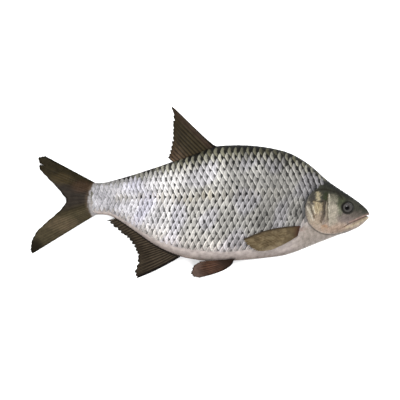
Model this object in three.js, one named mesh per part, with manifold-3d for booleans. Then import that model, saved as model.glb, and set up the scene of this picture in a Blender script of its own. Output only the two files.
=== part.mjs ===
// Bream: a whole freshwater fish, lying on its left flank with the right flank up.
//
// Frame, in millimetres: +X from the tail towards the snout, +Y from the belly towards the back,
// +Z up, away from the surface that the fish lies on. Z = 0 is that surface. The finished group is
// moved so that the origin is the middle of the bounding box's bottom face.
//
// The body is a loft of sections across its length. Every fin is a fan of rays: each ray starts on
// the body and has its own vector, and the rays carry a thin plate that tapers to its margin.

import * as THREE from "three";
import Module from "manifold-3d";
import { mergeVertices } from "three/addons/utils/BufferGeometryUtils.js";

// ---------------------------------------------------------------------------------------------
// Driving dimensions, mm
// ---------------------------------------------------------------------------------------------

const BODY_LENGTH = 289; // snout to the root of the tail fin
const BODY_DEPTH = 120; // belly to back at the deepest station
const BODY_THICKNESS = 40; // flank to flank at the widest station
const FLANK_PRESS = 1.2; // how deep the fish's weight presses its lower flank flat
const NOSE_ROUNDING = 3.6; // length over which the snout rounds off
const TAIL_ROUNDING = 5.5; // length over which the body's end rounds off in the tail fin's root
const TAIL_END = 0.1; // the tail's first section stands this far in front of its very end

const EYE_DIAMETER = 11.4; // the eyeball that shows in its socket
const EYE_BULGE = 1.1; // how far the eyeball stands out of the cheek
const EYE_DEPTH = 7.5; // the eyeball's thickness across the head

const MOUTH_LENGTH = 19.5; // snout to the corner of the mouth
const MOUTH_GAPE = 1.3; // opening between the lips at the snout
const GILL_SLIT_WIDTH = 0.9; // gap behind the free edge of the gill cover
const GILL_SLIT_DEPTH = 2.2; // how deep that gap goes under the skin
const GILL_COVER_RADIUS = 25; // radius of the gill cover's free edge

const DORSAL_FIN_SPAN = 58.7; // length of the longest ray, root to tip, of each fin
const CAUDAL_FIN_SPAN = 73;
const ANAL_FIN_SPAN = 49.8;
const PECTORAL_FIN_SPAN = 60.5;
const PELVIC_FIN_SPAN = 40.3;

const CAUDAL_ROOT_THICKNESS = 3.4; // the tail fin's muscular root, where it meets the body
const FIN_ROOT_THICKNESS = 2.4; // every other fin, where its rays leave the body
const FIN_MARGIN_THICKNESS = 0.8; // every fin at its outer margin
const GAP = 0.3; // clearance left between two neighbouring pieces
const ROOT_GAP = 0.45; // clearance between the body's back, belly or tail end and a fin's root

const CAUDAL_SPLIT_DEPTH = 7; // a tear between two rays of the tail fin's upper lobe
const CAUDAL_SPLIT_WIDTH = 1.6; // how wide the tear is at the margin

const PELVIC_SPREAD = 5; // distance of each pelvic fin's root from the body's middle plane
const PAIRED_FIN_FLARE = 2.5; // how far the tip of a paired fin stands off the flank
const MEDIAN_FIN_DROOP = 4; // how far the dorsal and anal fins' tips sag under their own weight
const FLOOR_CLEARANCE = 0.3; // what the sagging fins keep above the surface
const SAG_START = 0.42; // share of BODY_LENGTH from which the body sags down to its tail
const TAIL_TIP_SHARE = 0.86; // share of CAUDAL_FIN_SPAN that the tail fin's tip reaches back
const TAPER_POWER = 0.7; // how soon along its rays a fin thins to its margin: sooner below 1

// ---------------------------------------------------------------------------------------------
// Shape: stations are shares of BODY_LENGTH from the tail root (0) to the snout (1), and heights
// are shares of BODY_DEPTH above or below the body's axis
// ---------------------------------------------------------------------------------------------

const BACK_PROFILE = [
  [0, 0.188], [0.05, 0.192], [0.093, 0.216], [0.158, 0.261], [0.223, 0.311], [0.295, 0.369],
  [0.372, 0.434], [0.45, 0.501], [0.517, 0.513], [0.582, 0.509], [0.646, 0.488], [0.711, 0.447],
  [0.754, 0.395], [0.797, 0.322], [0.84, 0.227], [0.883, 0.15], [0.926, 0.083], [0.969, 0.008],
  [0.991, -0.04], [1, -0.062],
];
const BELLY_PROFILE = [
  [0, -0.091], [0.04, -0.083], [0.072, -0.093], [0.1, -0.128], [0.16, -0.225], [0.24, -0.357],
  [0.325, -0.443], [0.395, -0.476], [0.46, -0.485], [0.53, -0.477], [0.632, -0.455],
  [0.697, -0.432], [0.74, -0.399], [0.783, -0.357], [0.869, -0.276], [0.933, -0.221],
  [0.962, -0.187], [0.98, -0.153], [0.991, -0.127], [1, -0.11],
];
// Half thickness as a share of BODY_THICKNESS / 2
const THICKNESS_PROFILE = [
  [0, 0.13], [0.07, 0.24], [0.2, 0.46], [0.35, 0.76], [0.5, 0.965], [0.6, 1], [0.72, 0.995],
  [0.8, 0.94], [0.87, 0.8], [0.92, 0.64], [0.96, 0.46], [0.985, 0.33], [1, 0.26],
];
// Level of the widest point, as a share of the way from the belly up to the back
const WIDEST_LEVEL = [[0, 0.5], [0.3, 0.52], [0.6, 0.47], [0.8, 0.45], [1, 0.5]];
// A section narrows as (1 - level ^ FLANK_POWER) ^ ridge: a larger ridge gives a sharper back
const FLANK_POWER = 2.3;
const RIDGE_SHARPNESS = [[0, 0.58], [0.25, 0.72], [0.65, 0.7], [0.85, 0.56], [1, 0.5]];

const HEAD_START = 0.78; // station where the sections start to stand closer together
const TAIL_SECTIONS = 4;
const TRUNK_SECTIONS = 25;
const HEAD_SECTIONS = 18;
const POINTS_AROUND = 36;
const EYE_MERIDIANS = 20; // faces around each eyeball
const EYE_PARALLELS = 10; // and from its front to its back
const ARC_SEGMENTS = 16; // how finely a cutter's round edge is divided
const DORSAL_GRID = { rays: 12, steps: 6 }; // faces across each fin, and along its rays
const ANAL_GRID = { rays: 20, steps: 5 };
const CAUDAL_GRID = { rays: 24, steps: 8 };
const PAIRED_GRID = { rays: 10, steps: 9 };

// Places on the head, as station and height shares
const EYE_PLACE = [0.919, -0.024];
const MOUTH_PLACE = [0.9965, -0.098];
const MOUTH_SLOPE = THREE.MathUtils.degToRad(27); // the mouth's line drops this much going back
const GILL_COVER_CENTRE = [0.853, -0.042];
const GILL_EDGE_FROM = THREE.MathUtils.degToRad(118); // the free edge, anticlockwise from +X
const GILL_EDGE_TO = THREE.MathUtils.degToRad(262);

// Rays: [share of the root, back, out, bow], where back and out make the ray's vector, towards the
// tail and away from the body, in shares of the fin's span, and bow bends the ray outwards.
const DORSAL_ROOT = [0.452, 0.296]; // stations of the first and the last ray
const DORSAL_RAYS = [
  [0, 0.12, 0.055, 0], [0.083, 0.68, 0.692, 0], [0.167, 0.615, 0.615, 0], [0.25, 0.55, 0.545, 0],
  [0.4, 0.443, 0.45, 0], [0.6, 0.29, 0.32, 0], [0.8, 0.172, 0.17, 0], [1, 0.064, 0.052, 0],
];
const ANAL_ROOT = [0.324, 0.089];
const ANAL_RAYS = [
  [0, 0.892, 0.446, 0.027], [0.1, 0.79, 0.37, 0.02], [0.2, 0.603, 0.24, 0], [0.3, 0.45, 0.15, 0],
  [0.4, 0.351, 0.11, 0], [0.6, 0.218, 0.07, 0], [0.8, 0.158, 0.083, 0], [1, 0.15, 0.039, 0],
];
// The tail fin's root runs down the rounded end of the body, and its rays' out is up
const CAUDAL_RAYS = [
  [0, 0.7, 0.374, 0], [0.06, 0.757, 0.369, 0], [0.12, 0.778, 0.353, 0], [0.18, 0.745, 0.332, 0],
  [0.3, 0.702, 0.265, 0], [0.36, 0.6, 0.203, 0], [0.42, 0.46, 0.105, 0], [0.46, 0.367, 0.027, 0],
  [0.5, 0.325, -0.02, 0], [0.54, 0.361, -0.073, 0], [0.58, 0.468, -0.148, 0],
  [0.64, 0.6, -0.217, 0], [0.72, 0.745, -0.293, 0], [0.8, 0.832, -0.367, 0],
  [0.88, 0.88, -0.456, 0], [0.95, 0.894, -0.516, 0], [1, 0.884, -0.542, 0],
];
const CAUDAL_SPLIT_SHARE = 0.21; // where along the root the torn rays start
// Paired fins: the root is a line between two places on the flank, and out is down
const PECTORAL_ROOT = [[0.757, -0.182], [0.744, -0.262]];
const PECTORAL_RAYS = [
  [0, 0.994, 0.217, -0.064], [0.25, 0.921, 0.25, -0.04], [0.5, 0.814, 0.287, -0.01],
  [0.75, 0.679, 0.304, 0.01], [1, 0.466, 0.247, 0.02],
];
const PELVIC_ROOT = [[0.514, -0.472], [0.468, -0.472]];
const PELVIC_BOW_SKEW = 0.5; // below 1, the rays bow nearer their root
const PELVIC_RAYS = [
  [0, 0.867, 0.457, 0.13], [0.25, 0.933, 0.421, 0.12], [0.5, 0.908, 0.336, 0.08],
  [0.75, 0.754, 0.155, 0.03], [1, 0.51, 0.039, 0],
];

// ---------------------------------------------------------------------------------------------
// Curves
// ---------------------------------------------------------------------------------------------

/** A smooth function through rows of [position, value, ...]; column picks the value. */
function smooth(rows, column = 1) {
  const x = rows.map((row) => row[0]);
  const y = rows.map((row) => row[column]);
  const slope = (a, b) => (y[b] - y[a]) / (x[b] - x[a]);
  const last = x.length - 1;
  const tangents = x.map((_, i) => {
    if (i === 0) return slope(0, 1);
    if (i === last) return slope(last - 1, last);
    const before = x[i] - x[i - 1];
    const after = x[i + 1] - x[i];
    return (slope(i - 1, i) * after + slope(i, i + 1) * before) / (before + after);
  });
  return (at) => {
    const t = THREE.MathUtils.clamp(at, x[0], x[last]);
    const i = Math.min(last - 1, Math.max(0, x.findIndex((v) => v > t) - 1));
    const k = t >= x[last] ? last - 1 : i;
    const width = x[k + 1] - x[k];
    const s = (t - x[k]) / width;
    return (
      y[k] * (1 + 2 * s) * (1 - s) ** 2 +
      tangents[k] * width * s * (1 - s) ** 2 +
      y[k + 1] * s * s * (3 - 2 * s) +
      tangents[k + 1] * width * s * s * (s - 1)
    );
  };
}

const backShare = smooth(BACK_PROFILE);
const bellyShare = smooth(BELLY_PROFILE);
const thicknessShare = smooth(THICKNESS_PROFILE);
const widestShare = smooth(WIDEST_LEVEL);
const ridgeSharpness = smooth(RIDGE_SHARPNESS);

/** Height of the body's middle plane above the surface: the tail sags down to rest on it. */
const TRUNK_HEIGHT = BODY_THICKNESS / 2 - FLANK_PRESS;
const SAG_FROM = SAG_START * BODY_LENGTH;
const TAIL_TIP = -TAIL_TIP_SHARE * CAUDAL_FIN_SPAN;
const TAIL_TIP_HEIGHT = FLOOR_CLEARANCE + FIN_MARGIN_THICKNESS / 2;
function middlePlane(x) {
  const t = THREE.MathUtils.clamp((SAG_FROM - x) / (SAG_FROM - TAIL_TIP), 0, 1);
  const sag = t * t * (1.5 - 0.5 * t);
  return TRUNK_HEIGHT + (TAIL_TIP_HEIGHT - TRUNK_HEIGHT) * sag;
}

// ---------------------------------------------------------------------------------------------
// Body
// ---------------------------------------------------------------------------------------------

/** How far the body's ends round off at x: 1 along the body, falling to 0 at both ends. */
function endRounding(x) {
  const intoNose = Math.max(0, (x - BODY_LENGTH + NOSE_ROUNDING) / NOSE_ROUNDING);
  const intoTail = Math.max(0, (TAIL_ROUNDING - x) / TAIL_ROUNDING);
  return Math.sqrt(Math.max(0, 1 - intoNose ** 2 - intoTail ** 2));
}

/** The section at x: its top, bottom, widest level and half thickness. */
function section(x, grow = 0) {
  const station = THREE.MathUtils.clamp(x / BODY_LENGTH, 0, 1);
  const round = endRounding(x);
  const back = backShare(station) * BODY_DEPTH;
  const belly = bellyShare(station) * BODY_DEPTH;
  const middle = (back + belly) / 2;
  const top = middle + (back - middle) * round + grow;
  const bottom = middle + (belly - middle) * round - grow;
  return {
    top,
    bottom,
    widest: bottom + (top - bottom) * widestShare(station),
    half: (thicknessShare(station) * BODY_THICKNESS * round) / 2 + grow,
    ridge: ridgeSharpness(station),
  };
}

/** Half thickness of a section at height y, measured from the middle plane. */
function halfThicknessAt(s, y) {
  const reach = y > s.widest ? s.top - s.widest : s.widest - s.bottom;
  const level = Math.min(1, Math.abs(y - s.widest) / reach);
  return s.half * (1 - level ** FLANK_POWER) ** s.ridge;
}

/** Ring of points around the skin at x, from the upper flank down over the belly. */
function skinRing(x, grow) {
  const s = section(x, grow);
  const stretched = x + grow * ((2 * x) / BODY_LENGTH - 1);
  return Array.from({ length: POINTS_AROUND }, (_, k) => {
    const angle = (-k / POINTS_AROUND) * 2 * Math.PI;
    const rise = Math.sin(angle);
    const y = s.widest + rise * (rise > 0 ? s.top - s.widest : s.widest - s.bottom);
    const side = Math.cos(angle) < 0 ? -1 : 1;
    return new THREE.Vector3(stretched, y, middlePlane(x) + side * halfThicknessAt(s, y));
  });
}

/** Closed geometry from rings of points: one ring for each section, and a point at each end. */
function loft(rings, start, end) {
  const count = rings[0].length;
  const points = [...rings.flat(), start, end];
  const index = [];
  const at = (ring, k) => ring * count + (k % count);
  for (let ring = 0; ring + 1 < rings.length; ring++) {
    for (let k = 0; k < count; k++) {
      index.push(at(ring, k), at(ring, k + 1), at(ring + 1, k));
      index.push(at(ring, k + 1), at(ring + 1, k + 1), at(ring + 1, k));
    }
  }
  const startAt = points.length - 2;
  const endAt = points.length - 1;
  for (let k = 0; k < count; k++) {
    index.push(startAt, at(0, k + 1), at(0, k));
    index.push(endAt, at(rings.length - 1, k), at(rings.length - 1, k + 1));
  }
  return new THREE.BufferGeometry().setFromPoints(points).setIndex(index);
}

/** The whole body's skin, grown outwards by grow. */
function bodyGeometry(grow = 0) {
  const headStart = HEAD_START * BODY_LENGTH;
  const spread = (count, from, to, ease) =>
    Array.from({ length: count }, (_, i) => from + (to - from) * ease(i / count));
  // The sections stand closer together towards both rounded ends.
  const stations = [
    ...spread(TAIL_SECTIONS, TAIL_END, TAIL_ROUNDING, (t) => 1 - Math.cos(t * 0.5 * Math.PI)),
    ...spread(TRUNK_SECTIONS, TAIL_ROUNDING, headStart, (t) => t),
    ...spread(HEAD_SECTIONS, headStart, BODY_LENGTH, (t) => Math.sin(t * 0.5 * Math.PI)),
  ];
  const rings = stations.map((x) => skinRing(x, grow));
  const endPoint = (x, beyond) => {
    const s = section(x);
    return new THREE.Vector3(x + beyond, (s.top + s.bottom) / 2, middlePlane(x));
  };
  return loft(rings, endPoint(0, -grow), endPoint(BODY_LENGTH, grow));
}

/** A place given as station and height shares, in mm. */
const place = ([station, height]) => new THREE.Vector2(station * BODY_LENGTH, height * BODY_DEPTH);

/** An eyeball on the upper (side 1) or the lower (side -1) cheek, grown outwards by grow. */
function eyeGeometry(side, grow = 0) {
  const { x, y } = place(EYE_PLACE);
  const radius = EYE_DIAMETER / 2 + grow;
  const thickness = EYE_DEPTH / 2 + grow;
  const stands = halfThicknessAt(section(x), y) + EYE_BULGE - EYE_DEPTH / 2;
  return new THREE.SphereGeometry(1, EYE_MERIDIANS, EYE_PARALLELS)
    .rotateX(Math.PI / 2)
    .scale(radius, radius, thickness)
    .translate(x, y, middlePlane(x) + side * stands);
}

/** A shape as a cutter that runs through the whole body from flank to flank. */
function through(shape) {
  const depth = 2 * BODY_THICKNESS;
  const options = { depth, bevelEnabled: false, curveSegments: ARC_SEGMENTS };
  return new THREE.ExtrudeGeometry(shape, options).translate(0, 0, -depth / 4);
}

/** The gape between the lips: a wedge across the snout that closes at the corner of the mouth. */
function mouthGeometry() {
  const snout = place(MOUTH_PLACE);
  const back = new THREE.Vector2(-Math.cos(MOUTH_SLOPE), -Math.sin(MOUTH_SLOPE));
  const across = new THREE.Vector2(-back.y, back.x).multiplyScalar(MOUTH_GAPE / 2);
  const front = snout.clone().addScaledVector(back, -MOUTH_LENGTH / 3);
  const corner = snout.clone().addScaledVector(back, MOUTH_LENGTH);
  const wedge = new THREE.Shape([
    front.clone().add(across),
    corner,
    front.clone().sub(across),
  ]);
  return through(wedge);
}

/** A band across the whole body, behind the free edges of both gill covers. */
function gillBandGeometry() {
  const { x, y } = place(GILL_COVER_CENTRE);
  const band = new THREE.Shape();
  band.absarc(x, y, GILL_COVER_RADIUS + GILL_SLIT_WIDTH, GILL_EDGE_FROM, GILL_EDGE_TO, false);
  band.absarc(x, y, GILL_COVER_RADIUS, GILL_EDGE_TO, GILL_EDGE_FROM, true);
  band.closePath();
  return through(band);
}

/** Everything below the surface that the fish lies on. */
function floorGeometry() {
  const size = 3 * BODY_LENGTH;
  return new THREE.BoxGeometry(size, size, BODY_THICKNESS).translate(0, 0, -BODY_THICKNESS / 2);
}

// ---------------------------------------------------------------------------------------------
// Fins
// ---------------------------------------------------------------------------------------------

/**
 * A fan of rays. rootAt(t) is where ray t leaves the body, back and out are the directions of its
 * vector's two parts. The result gives the point at a share along ray t.
 */
function fan({ rows, span, rootAt, back, out, bowSkew = 1 }) {
  const backAt = smooth(rows, 1);
  const outAt = smooth(rows, 2);
  const bowAt = smooth(rows, 3);
  return (t, along) => {
    const vector = back
      .clone()
      .multiplyScalar(backAt(t) * span)
      .addScaledVector(out, outAt(t) * span);
    const bowed = along ** bowSkew;
    const bow = bowAt(t) * span * 4 * bowed * (1 - bowed);
    return rootAt(t).addScaledVector(vector, along).addScaledVector(out, bow);
  };
}

/**
 * A fan as one closed plate, with pointAt from fan(). heightAt(point, along) is the plate's middle
 * height and thicknessAt(along) its thickness, from the root (0) to the margin (1).
 */
function fanGeometry({ pointAt, rays, steps, heightAt, thicknessAt }) {
  const upper = [];
  const lower = [];
  for (let i = 0; i <= rays; i++) {
    for (let j = 0; j <= steps; j++) {
      const along = j / steps;
      const point = pointAt(i / rays, along);
      const height = heightAt(point, along);
      const half = thicknessAt(along) / 2;
      upper.push(new THREE.Vector3(point.x, point.y, height + half));
      lower.push(new THREE.Vector3(point.x, point.y, height - half));
    }
  }
  const size = upper.length;
  const at = (i, j) => i * (steps + 1) + j;
  const index = [];
  // The faces wind one way where the margin lies left of the root line, and the other way right.
  const root = pointAt(0, 0);
  const turnsLeft = pointAt(1, 0).sub(root).cross(pointAt(0.5, 1).sub(root)) > 0;
  const quad = (a, b, c, d) =>
    turnsLeft ? index.push(a, b, c, a, c, d) : index.push(a, c, b, a, d, c);
  for (let i = 0; i < rays; i++) {
    for (let j = 0; j < steps; j++) {
      quad(at(i, j), at(i + 1, j), at(i + 1, j + 1), at(i, j + 1));
      quad(size + at(i, j), size + at(i, j + 1), size + at(i + 1, j + 1), size + at(i + 1, j));
    }
    quad(at(i, 0), size + at(i, 0), size + at(i + 1, 0), at(i + 1, 0));
    quad(at(i, steps), at(i + 1, steps), size + at(i + 1, steps), size + at(i, steps));
  }
  for (let j = 0; j < steps; j++) {
    quad(at(0, j), at(0, j + 1), size + at(0, j + 1), size + at(0, j));
    quad(at(rays, j), size + at(rays, j), size + at(rays, j + 1), at(rays, j + 1));
  }
  return new THREE.BufferGeometry().setFromPoints([...upper, ...lower]).setIndex(index);
}

const TAILWARD = new THREE.Vector2(-1, 0);
const UPWARD = new THREE.Vector2(0, 1);
const DOWNWARD = new THREE.Vector2(0, -1);

/** A fin's thickness at a share along its rays. */
const taper = (root) => (along) =>
  root + (FIN_MARGIN_THICKNESS - root) * along ** TAPER_POWER;

/** A fin on the back or the belly, in the body's middle plane. */
function medianFin({ stations, profile, out, rows, span, grid }) {
  const rootAt = (t) => {
    const station = THREE.MathUtils.lerp(stations[0], stations[1], t);
    const edge = new THREE.Vector2(station * BODY_LENGTH, profile(station) * BODY_DEPTH);
    return edge.addScaledVector(out, ROOT_GAP);
  };
  return fanGeometry({
    pointAt: fan({ rows, span, rootAt, back: TAILWARD, out }),
    ...grid,
    heightAt: (point, along) =>
      Math.max(TAIL_TIP_HEIGHT, middlePlane(point.x) - MEDIAN_FIN_DROOP * along * along),
    thicknessAt: taper(FIN_ROOT_THICKNESS),
  });
}

/** The tail fin's rays: they start on the rounded end of the body, between its back and belly. */
const caudalPoint = fan({
  rows: CAUDAL_RAYS,
  span: CAUDAL_FIN_SPAN,
  back: TAILWARD,
  out: UPWARD,
  rootAt: (t) => {
    const end = section(TAIL_ROUNDING);
    const length = TAIL_ROUNDING + ROOT_GAP;
    const height = (end.top - end.bottom) / 2 + ROOT_GAP;
    const x = TAIL_ROUNDING - length * Math.sin(Math.PI * t);
    return new THREE.Vector2(x, (end.top + end.bottom) / 2 + height * Math.cos(Math.PI * t));
  },
});

function caudalFin() {
  return fanGeometry({
    pointAt: caudalPoint,
    ...CAUDAL_GRID,
    heightAt: (point) => middlePlane(point.x),
    thicknessAt: taper(CAUDAL_ROOT_THICKNESS),
  });
}

/** The tear in the tail fin: a wedge that runs in from the margin between two rays. */
function caudalSplitGeometry() {
  const margin = caudalPoint(CAUDAL_SPLIT_SHARE, 1);
  const inwards = caudalPoint(CAUDAL_SPLIT_SHARE, 0).sub(margin).normalize();
  const across = new THREE.Vector2(-inwards.y, inwards.x).multiplyScalar(CAUDAL_SPLIT_WIDTH);
  // The wedge starts outside the margin, where it is twice as wide.
  const outside = margin.clone().addScaledVector(inwards, -CAUDAL_SPLIT_DEPTH);
  const wedge = new THREE.Shape([
    outside.clone().add(across),
    outside.clone().sub(across),
    margin.clone().addScaledVector(inwards, CAUDAL_SPLIT_DEPTH),
  ]);
  return through(wedge);
}

/** A pectoral or pelvic fin on the upper (side 1) or the lower (side -1) flank. */
function pairedFin({ root, rows, span, bowSkew, side, distanceAt }) {
  const [first, last] = root.map(place);
  const rootAt = (t) => first.clone().lerp(last, t);
  return fanGeometry({
    pointAt: fan({ rows, span, rootAt, back: TAILWARD, out: DOWNWARD, bowSkew }),
    ...PAIRED_GRID,
    heightAt: (point, along) => {
      const height = middlePlane(point.x) + side * distanceAt(point, along);
      return Math.max(height, FLOOR_CLEARANCE + FIN_ROOT_THICKNESS / 2);
    },
    thicknessAt: taper(FIN_ROOT_THICKNESS),
  });
}

/** Distance of a pectoral fin's plate from the middle plane: it lies along the flank. */
function pectoralDistance(point, along) {
  const flank = halfThicknessAt(section(point.x), point.y);
  const clear = 2 * GAP + taper(FIN_ROOT_THICKNESS)(along) / 2;
  return flank + clear + PAIRED_FIN_FLARE * along * along;
}

/** Distance of a pelvic fin's plate from the middle plane: it hangs beside the belly. */
function pelvicDistance(point, along) {
  return PELVIC_SPREAD + PAIRED_FIN_FLARE * along;
}

// ---------------------------------------------------------------------------------------------
// Solids
// ---------------------------------------------------------------------------------------------

const wasm = await Module();
wasm.setup();

/** A closed geometry as a solid that can be joined and cut. */
function solid(geometry) {
  const bare = new THREE.BufferGeometry().setAttribute("position", geometry.getAttribute("position"));
  bare.setIndex(geometry.index);
  const merged = mergeVertices(bare, 1e-4);
  return new wasm.Manifold(
    new wasm.Mesh({
      numProp: 3,
      vertProperties: new Float32Array(merged.getAttribute("position").array),
      triVerts: new Uint32Array(merged.index.array),
    }),
  );
}

/** The body with its eye sockets, mouth and gill slits, lying flat on the surface. */
function bodySolid() {
  const underSkin = solid(bodyGeometry(-GILL_SLIT_DEPTH));
  return solid(bodyGeometry())
    .subtract(solid(gillBandGeometry()).subtract(underSkin))
    .subtract(solid(mouthGeometry()))
    .subtract(solid(eyeGeometry(1, GAP)))
    .subtract(solid(eyeGeometry(-1, GAP)))
    .subtract(solid(floorGeometry()));
}

/** Largest connected piece: trimming a fin to the body can leave slivers inside the skin. */
function largestPiece(whole) {
  const pieces = whole.decompose();
  return pieces.reduce((best, piece) => (piece.volume() > best.volume() ? piece : best));
}

/** A fin on the lower flank would reach into the flattened body, so it is cut back to the skin. */
const skinWithGap = solid(bodyGeometry(GAP));
const trimmed = (geometry) => largestPiece(solid(geometry).subtract(skinWithGap));

// ---------------------------------------------------------------------------------------------
// The fish
// ---------------------------------------------------------------------------------------------

const MATERIALS = {
  skin: new THREE.MeshStandardMaterial({ color: 0xaaa8a5, roughness: 0.35, metalness: 0.3 }),
  fin: new THREE.MeshStandardMaterial({ color: 0x443d2f, roughness: 0.5, metalness: 0 }),
  pairedFin: new THREE.MeshStandardMaterial({ color: 0x70604c, roughness: 0.5, metalness: 0 }),
  eye: new THREE.MeshStandardMaterial({ color: 0x4a4440, roughness: 0.15, metalness: 0 }),
};

/** A named mesh from a solid. */
function meshOf(name, shape, material) {
  const { numProp, vertProperties, triVerts } = shape.getMesh();
  const geometry = new THREE.BufferGeometry();
  geometry.setAttribute("position", new THREE.BufferAttribute(vertProperties, numProp));
  geometry.setIndex(new THREE.BufferAttribute(triVerts, 1));
  geometry.computeVertexNormals();
  const mesh = new THREE.Mesh(geometry, material);
  mesh.name = name;
  return mesh;
}

const fish = new THREE.Group();
fish.add(meshOf("body", bodySolid(), MATERIALS.skin));

const dorsalFin = medianFin({
  stations: DORSAL_ROOT,
  profile: backShare,
  out: UPWARD,
  rows: DORSAL_RAYS,
  span: DORSAL_FIN_SPAN,
  grid: DORSAL_GRID,
});
const analFin = medianFin({
  stations: ANAL_ROOT,
  profile: bellyShare,
  out: DOWNWARD,
  rows: ANAL_RAYS,
  span: ANAL_FIN_SPAN,
  grid: ANAL_GRID,
});
const tornCaudalFin = solid(caudalFin()).subtract(solid(caudalSplitGeometry()));
fish.add(meshOf("dorsal_fin", solid(dorsalFin), MATERIALS.fin));
fish.add(meshOf("anal_fin", solid(analFin), MATERIALS.fin));
fish.add(meshOf("caudal_fin", tornCaudalFin, MATERIALS.fin));

for (const [flank, side] of [["right", 1], ["left", -1]]) {
  const pectoralFin = pairedFin({
    root: PECTORAL_ROOT,
    rows: PECTORAL_RAYS,
    span: PECTORAL_FIN_SPAN,
    side,
    distanceAt: pectoralDistance,
  });
  const pelvicFin = pairedFin({
    root: PELVIC_ROOT,
    rows: PELVIC_RAYS,
    span: PELVIC_FIN_SPAN,
    bowSkew: PELVIC_BOW_SKEW,
    side,
    distanceAt: pelvicDistance,
  });
  fish.add(meshOf("pectoral_fin_" + flank, trimmed(pectoralFin), MATERIALS.pairedFin));
  fish.add(meshOf("pelvic_fin_" + flank, trimmed(pelvicFin), MATERIALS.pairedFin));
  fish.add(meshOf("eye_" + flank, solid(eyeGeometry(side)), MATERIALS.eye));
}

// The origin is the middle of the bounding box's bottom face.
const bounds = new THREE.Box3().setFromObject(fish);
const middle = bounds.getCenter(new THREE.Vector3());
fish.position.set(-middle.x, -middle.y, -bounds.min.z);

export default fish;
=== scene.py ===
"""Looks of the bream: skin with its head, two sheets of scales, seven fins and two eyes.

Shapes are worked out in the fish's own frame, in millimetres: x from the tail root to the snout,
y up from the body's axis, z up from the surface. to_frame() turns that into metres in the frame.
"""

import math

import bpy
import numpy as np
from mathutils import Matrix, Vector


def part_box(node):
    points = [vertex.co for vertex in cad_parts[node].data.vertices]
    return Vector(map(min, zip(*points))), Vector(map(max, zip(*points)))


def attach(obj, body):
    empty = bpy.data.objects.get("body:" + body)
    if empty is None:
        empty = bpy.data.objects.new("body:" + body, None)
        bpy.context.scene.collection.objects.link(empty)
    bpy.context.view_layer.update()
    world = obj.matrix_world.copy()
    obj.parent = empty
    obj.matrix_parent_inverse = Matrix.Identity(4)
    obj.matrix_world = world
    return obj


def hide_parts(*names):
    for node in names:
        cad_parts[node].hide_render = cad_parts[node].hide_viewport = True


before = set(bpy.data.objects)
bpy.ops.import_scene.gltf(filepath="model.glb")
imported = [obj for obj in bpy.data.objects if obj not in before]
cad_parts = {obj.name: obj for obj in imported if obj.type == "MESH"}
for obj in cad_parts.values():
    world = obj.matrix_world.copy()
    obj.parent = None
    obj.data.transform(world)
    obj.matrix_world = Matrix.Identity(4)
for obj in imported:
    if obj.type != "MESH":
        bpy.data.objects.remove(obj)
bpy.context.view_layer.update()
rng = np.random.default_rng(11)
MM = 0.001
RIPPLE_WAVES, RIPPLE_SPAN = 7, 2.4

# ------------------------------
# Shape values, the same as the part's: stations are shares of the body's length, heights are
# shares of its depth
FLANK_PRESS = 1.2
SOFT_PRESS = 0.5  # how far above the surface the pressing begins
NOSE_ROUNDING = 3.6
TAIL_ROUNDING = 5.5
ROOT_GAP = 0.45
FLANK_POWER = 2.3
BACK_PROFILE = [
    [0, 0.188], [0.05, 0.192], [0.093, 0.216], [0.158, 0.261], [0.223, 0.311], [0.295, 0.369],
    [0.372, 0.434], [0.45, 0.501], [0.517, 0.513], [0.582, 0.509], [0.646, 0.488], [0.711, 0.447],
    [0.754, 0.395], [0.797, 0.322], [0.84, 0.227], [0.883, 0.15], [0.926, 0.083], [0.969, 0.008],
    [0.991, -0.04], [1, -0.062],
]
BELLY_PROFILE = [
    [0, -0.091], [0.04, -0.083], [0.072, -0.093], [0.1, -0.128], [0.16, -0.225], [0.24, -0.357],
    [0.325, -0.443], [0.395, -0.476], [0.46, -0.485], [0.53, -0.477], [0.632, -0.455],
    [0.697, -0.432], [0.74, -0.399], [0.783, -0.357], [0.869, -0.276], [0.933, -0.221],
    [0.962, -0.187], [0.98, -0.153], [0.991, -0.127], [1, -0.11],
]
THICKNESS_PROFILE = [
    [0, 0.13], [0.07, 0.24], [0.2, 0.46], [0.35, 0.76], [0.5, 0.965], [0.6, 1], [0.72, 0.995],
    [0.8, 0.94], [0.87, 0.8], [0.92, 0.64], [0.96, 0.46], [0.985, 0.33], [1, 0.26],
]
WIDEST_LEVEL = [[0, 0.5], [0.3, 0.52], [0.6, 0.47], [0.8, 0.45], [1, 0.5]]
RIDGE_SHARPNESS = [[0, 0.58], [0.25, 0.72], [0.65, 0.7], [0.85, 0.56], [1, 0.5]]
DORSAL_RAYS = [
    [0, 0.12, 0.055, 0], [0.083, 0.68, 0.692, 0], [0.167, 0.615, 0.615, 0], [0.25, 0.55, 0.545, 0],
    [0.4, 0.443, 0.45, 0], [0.6, 0.29, 0.32, 0], [0.8, 0.172, 0.17, 0], [1, 0.064, 0.052, 0],
]
ANAL_RAYS = [
    [0, 0.892, 0.446, 0.027], [0.1, 0.79, 0.37, 0.02], [0.2, 0.603, 0.24, 0], [0.3, 0.45, 0.15, 0],
    [0.4, 0.351, 0.11, 0], [0.6, 0.218, 0.07, 0], [0.8, 0.158, 0.083, 0], [1, 0.15, 0.039, 0],
]
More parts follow.
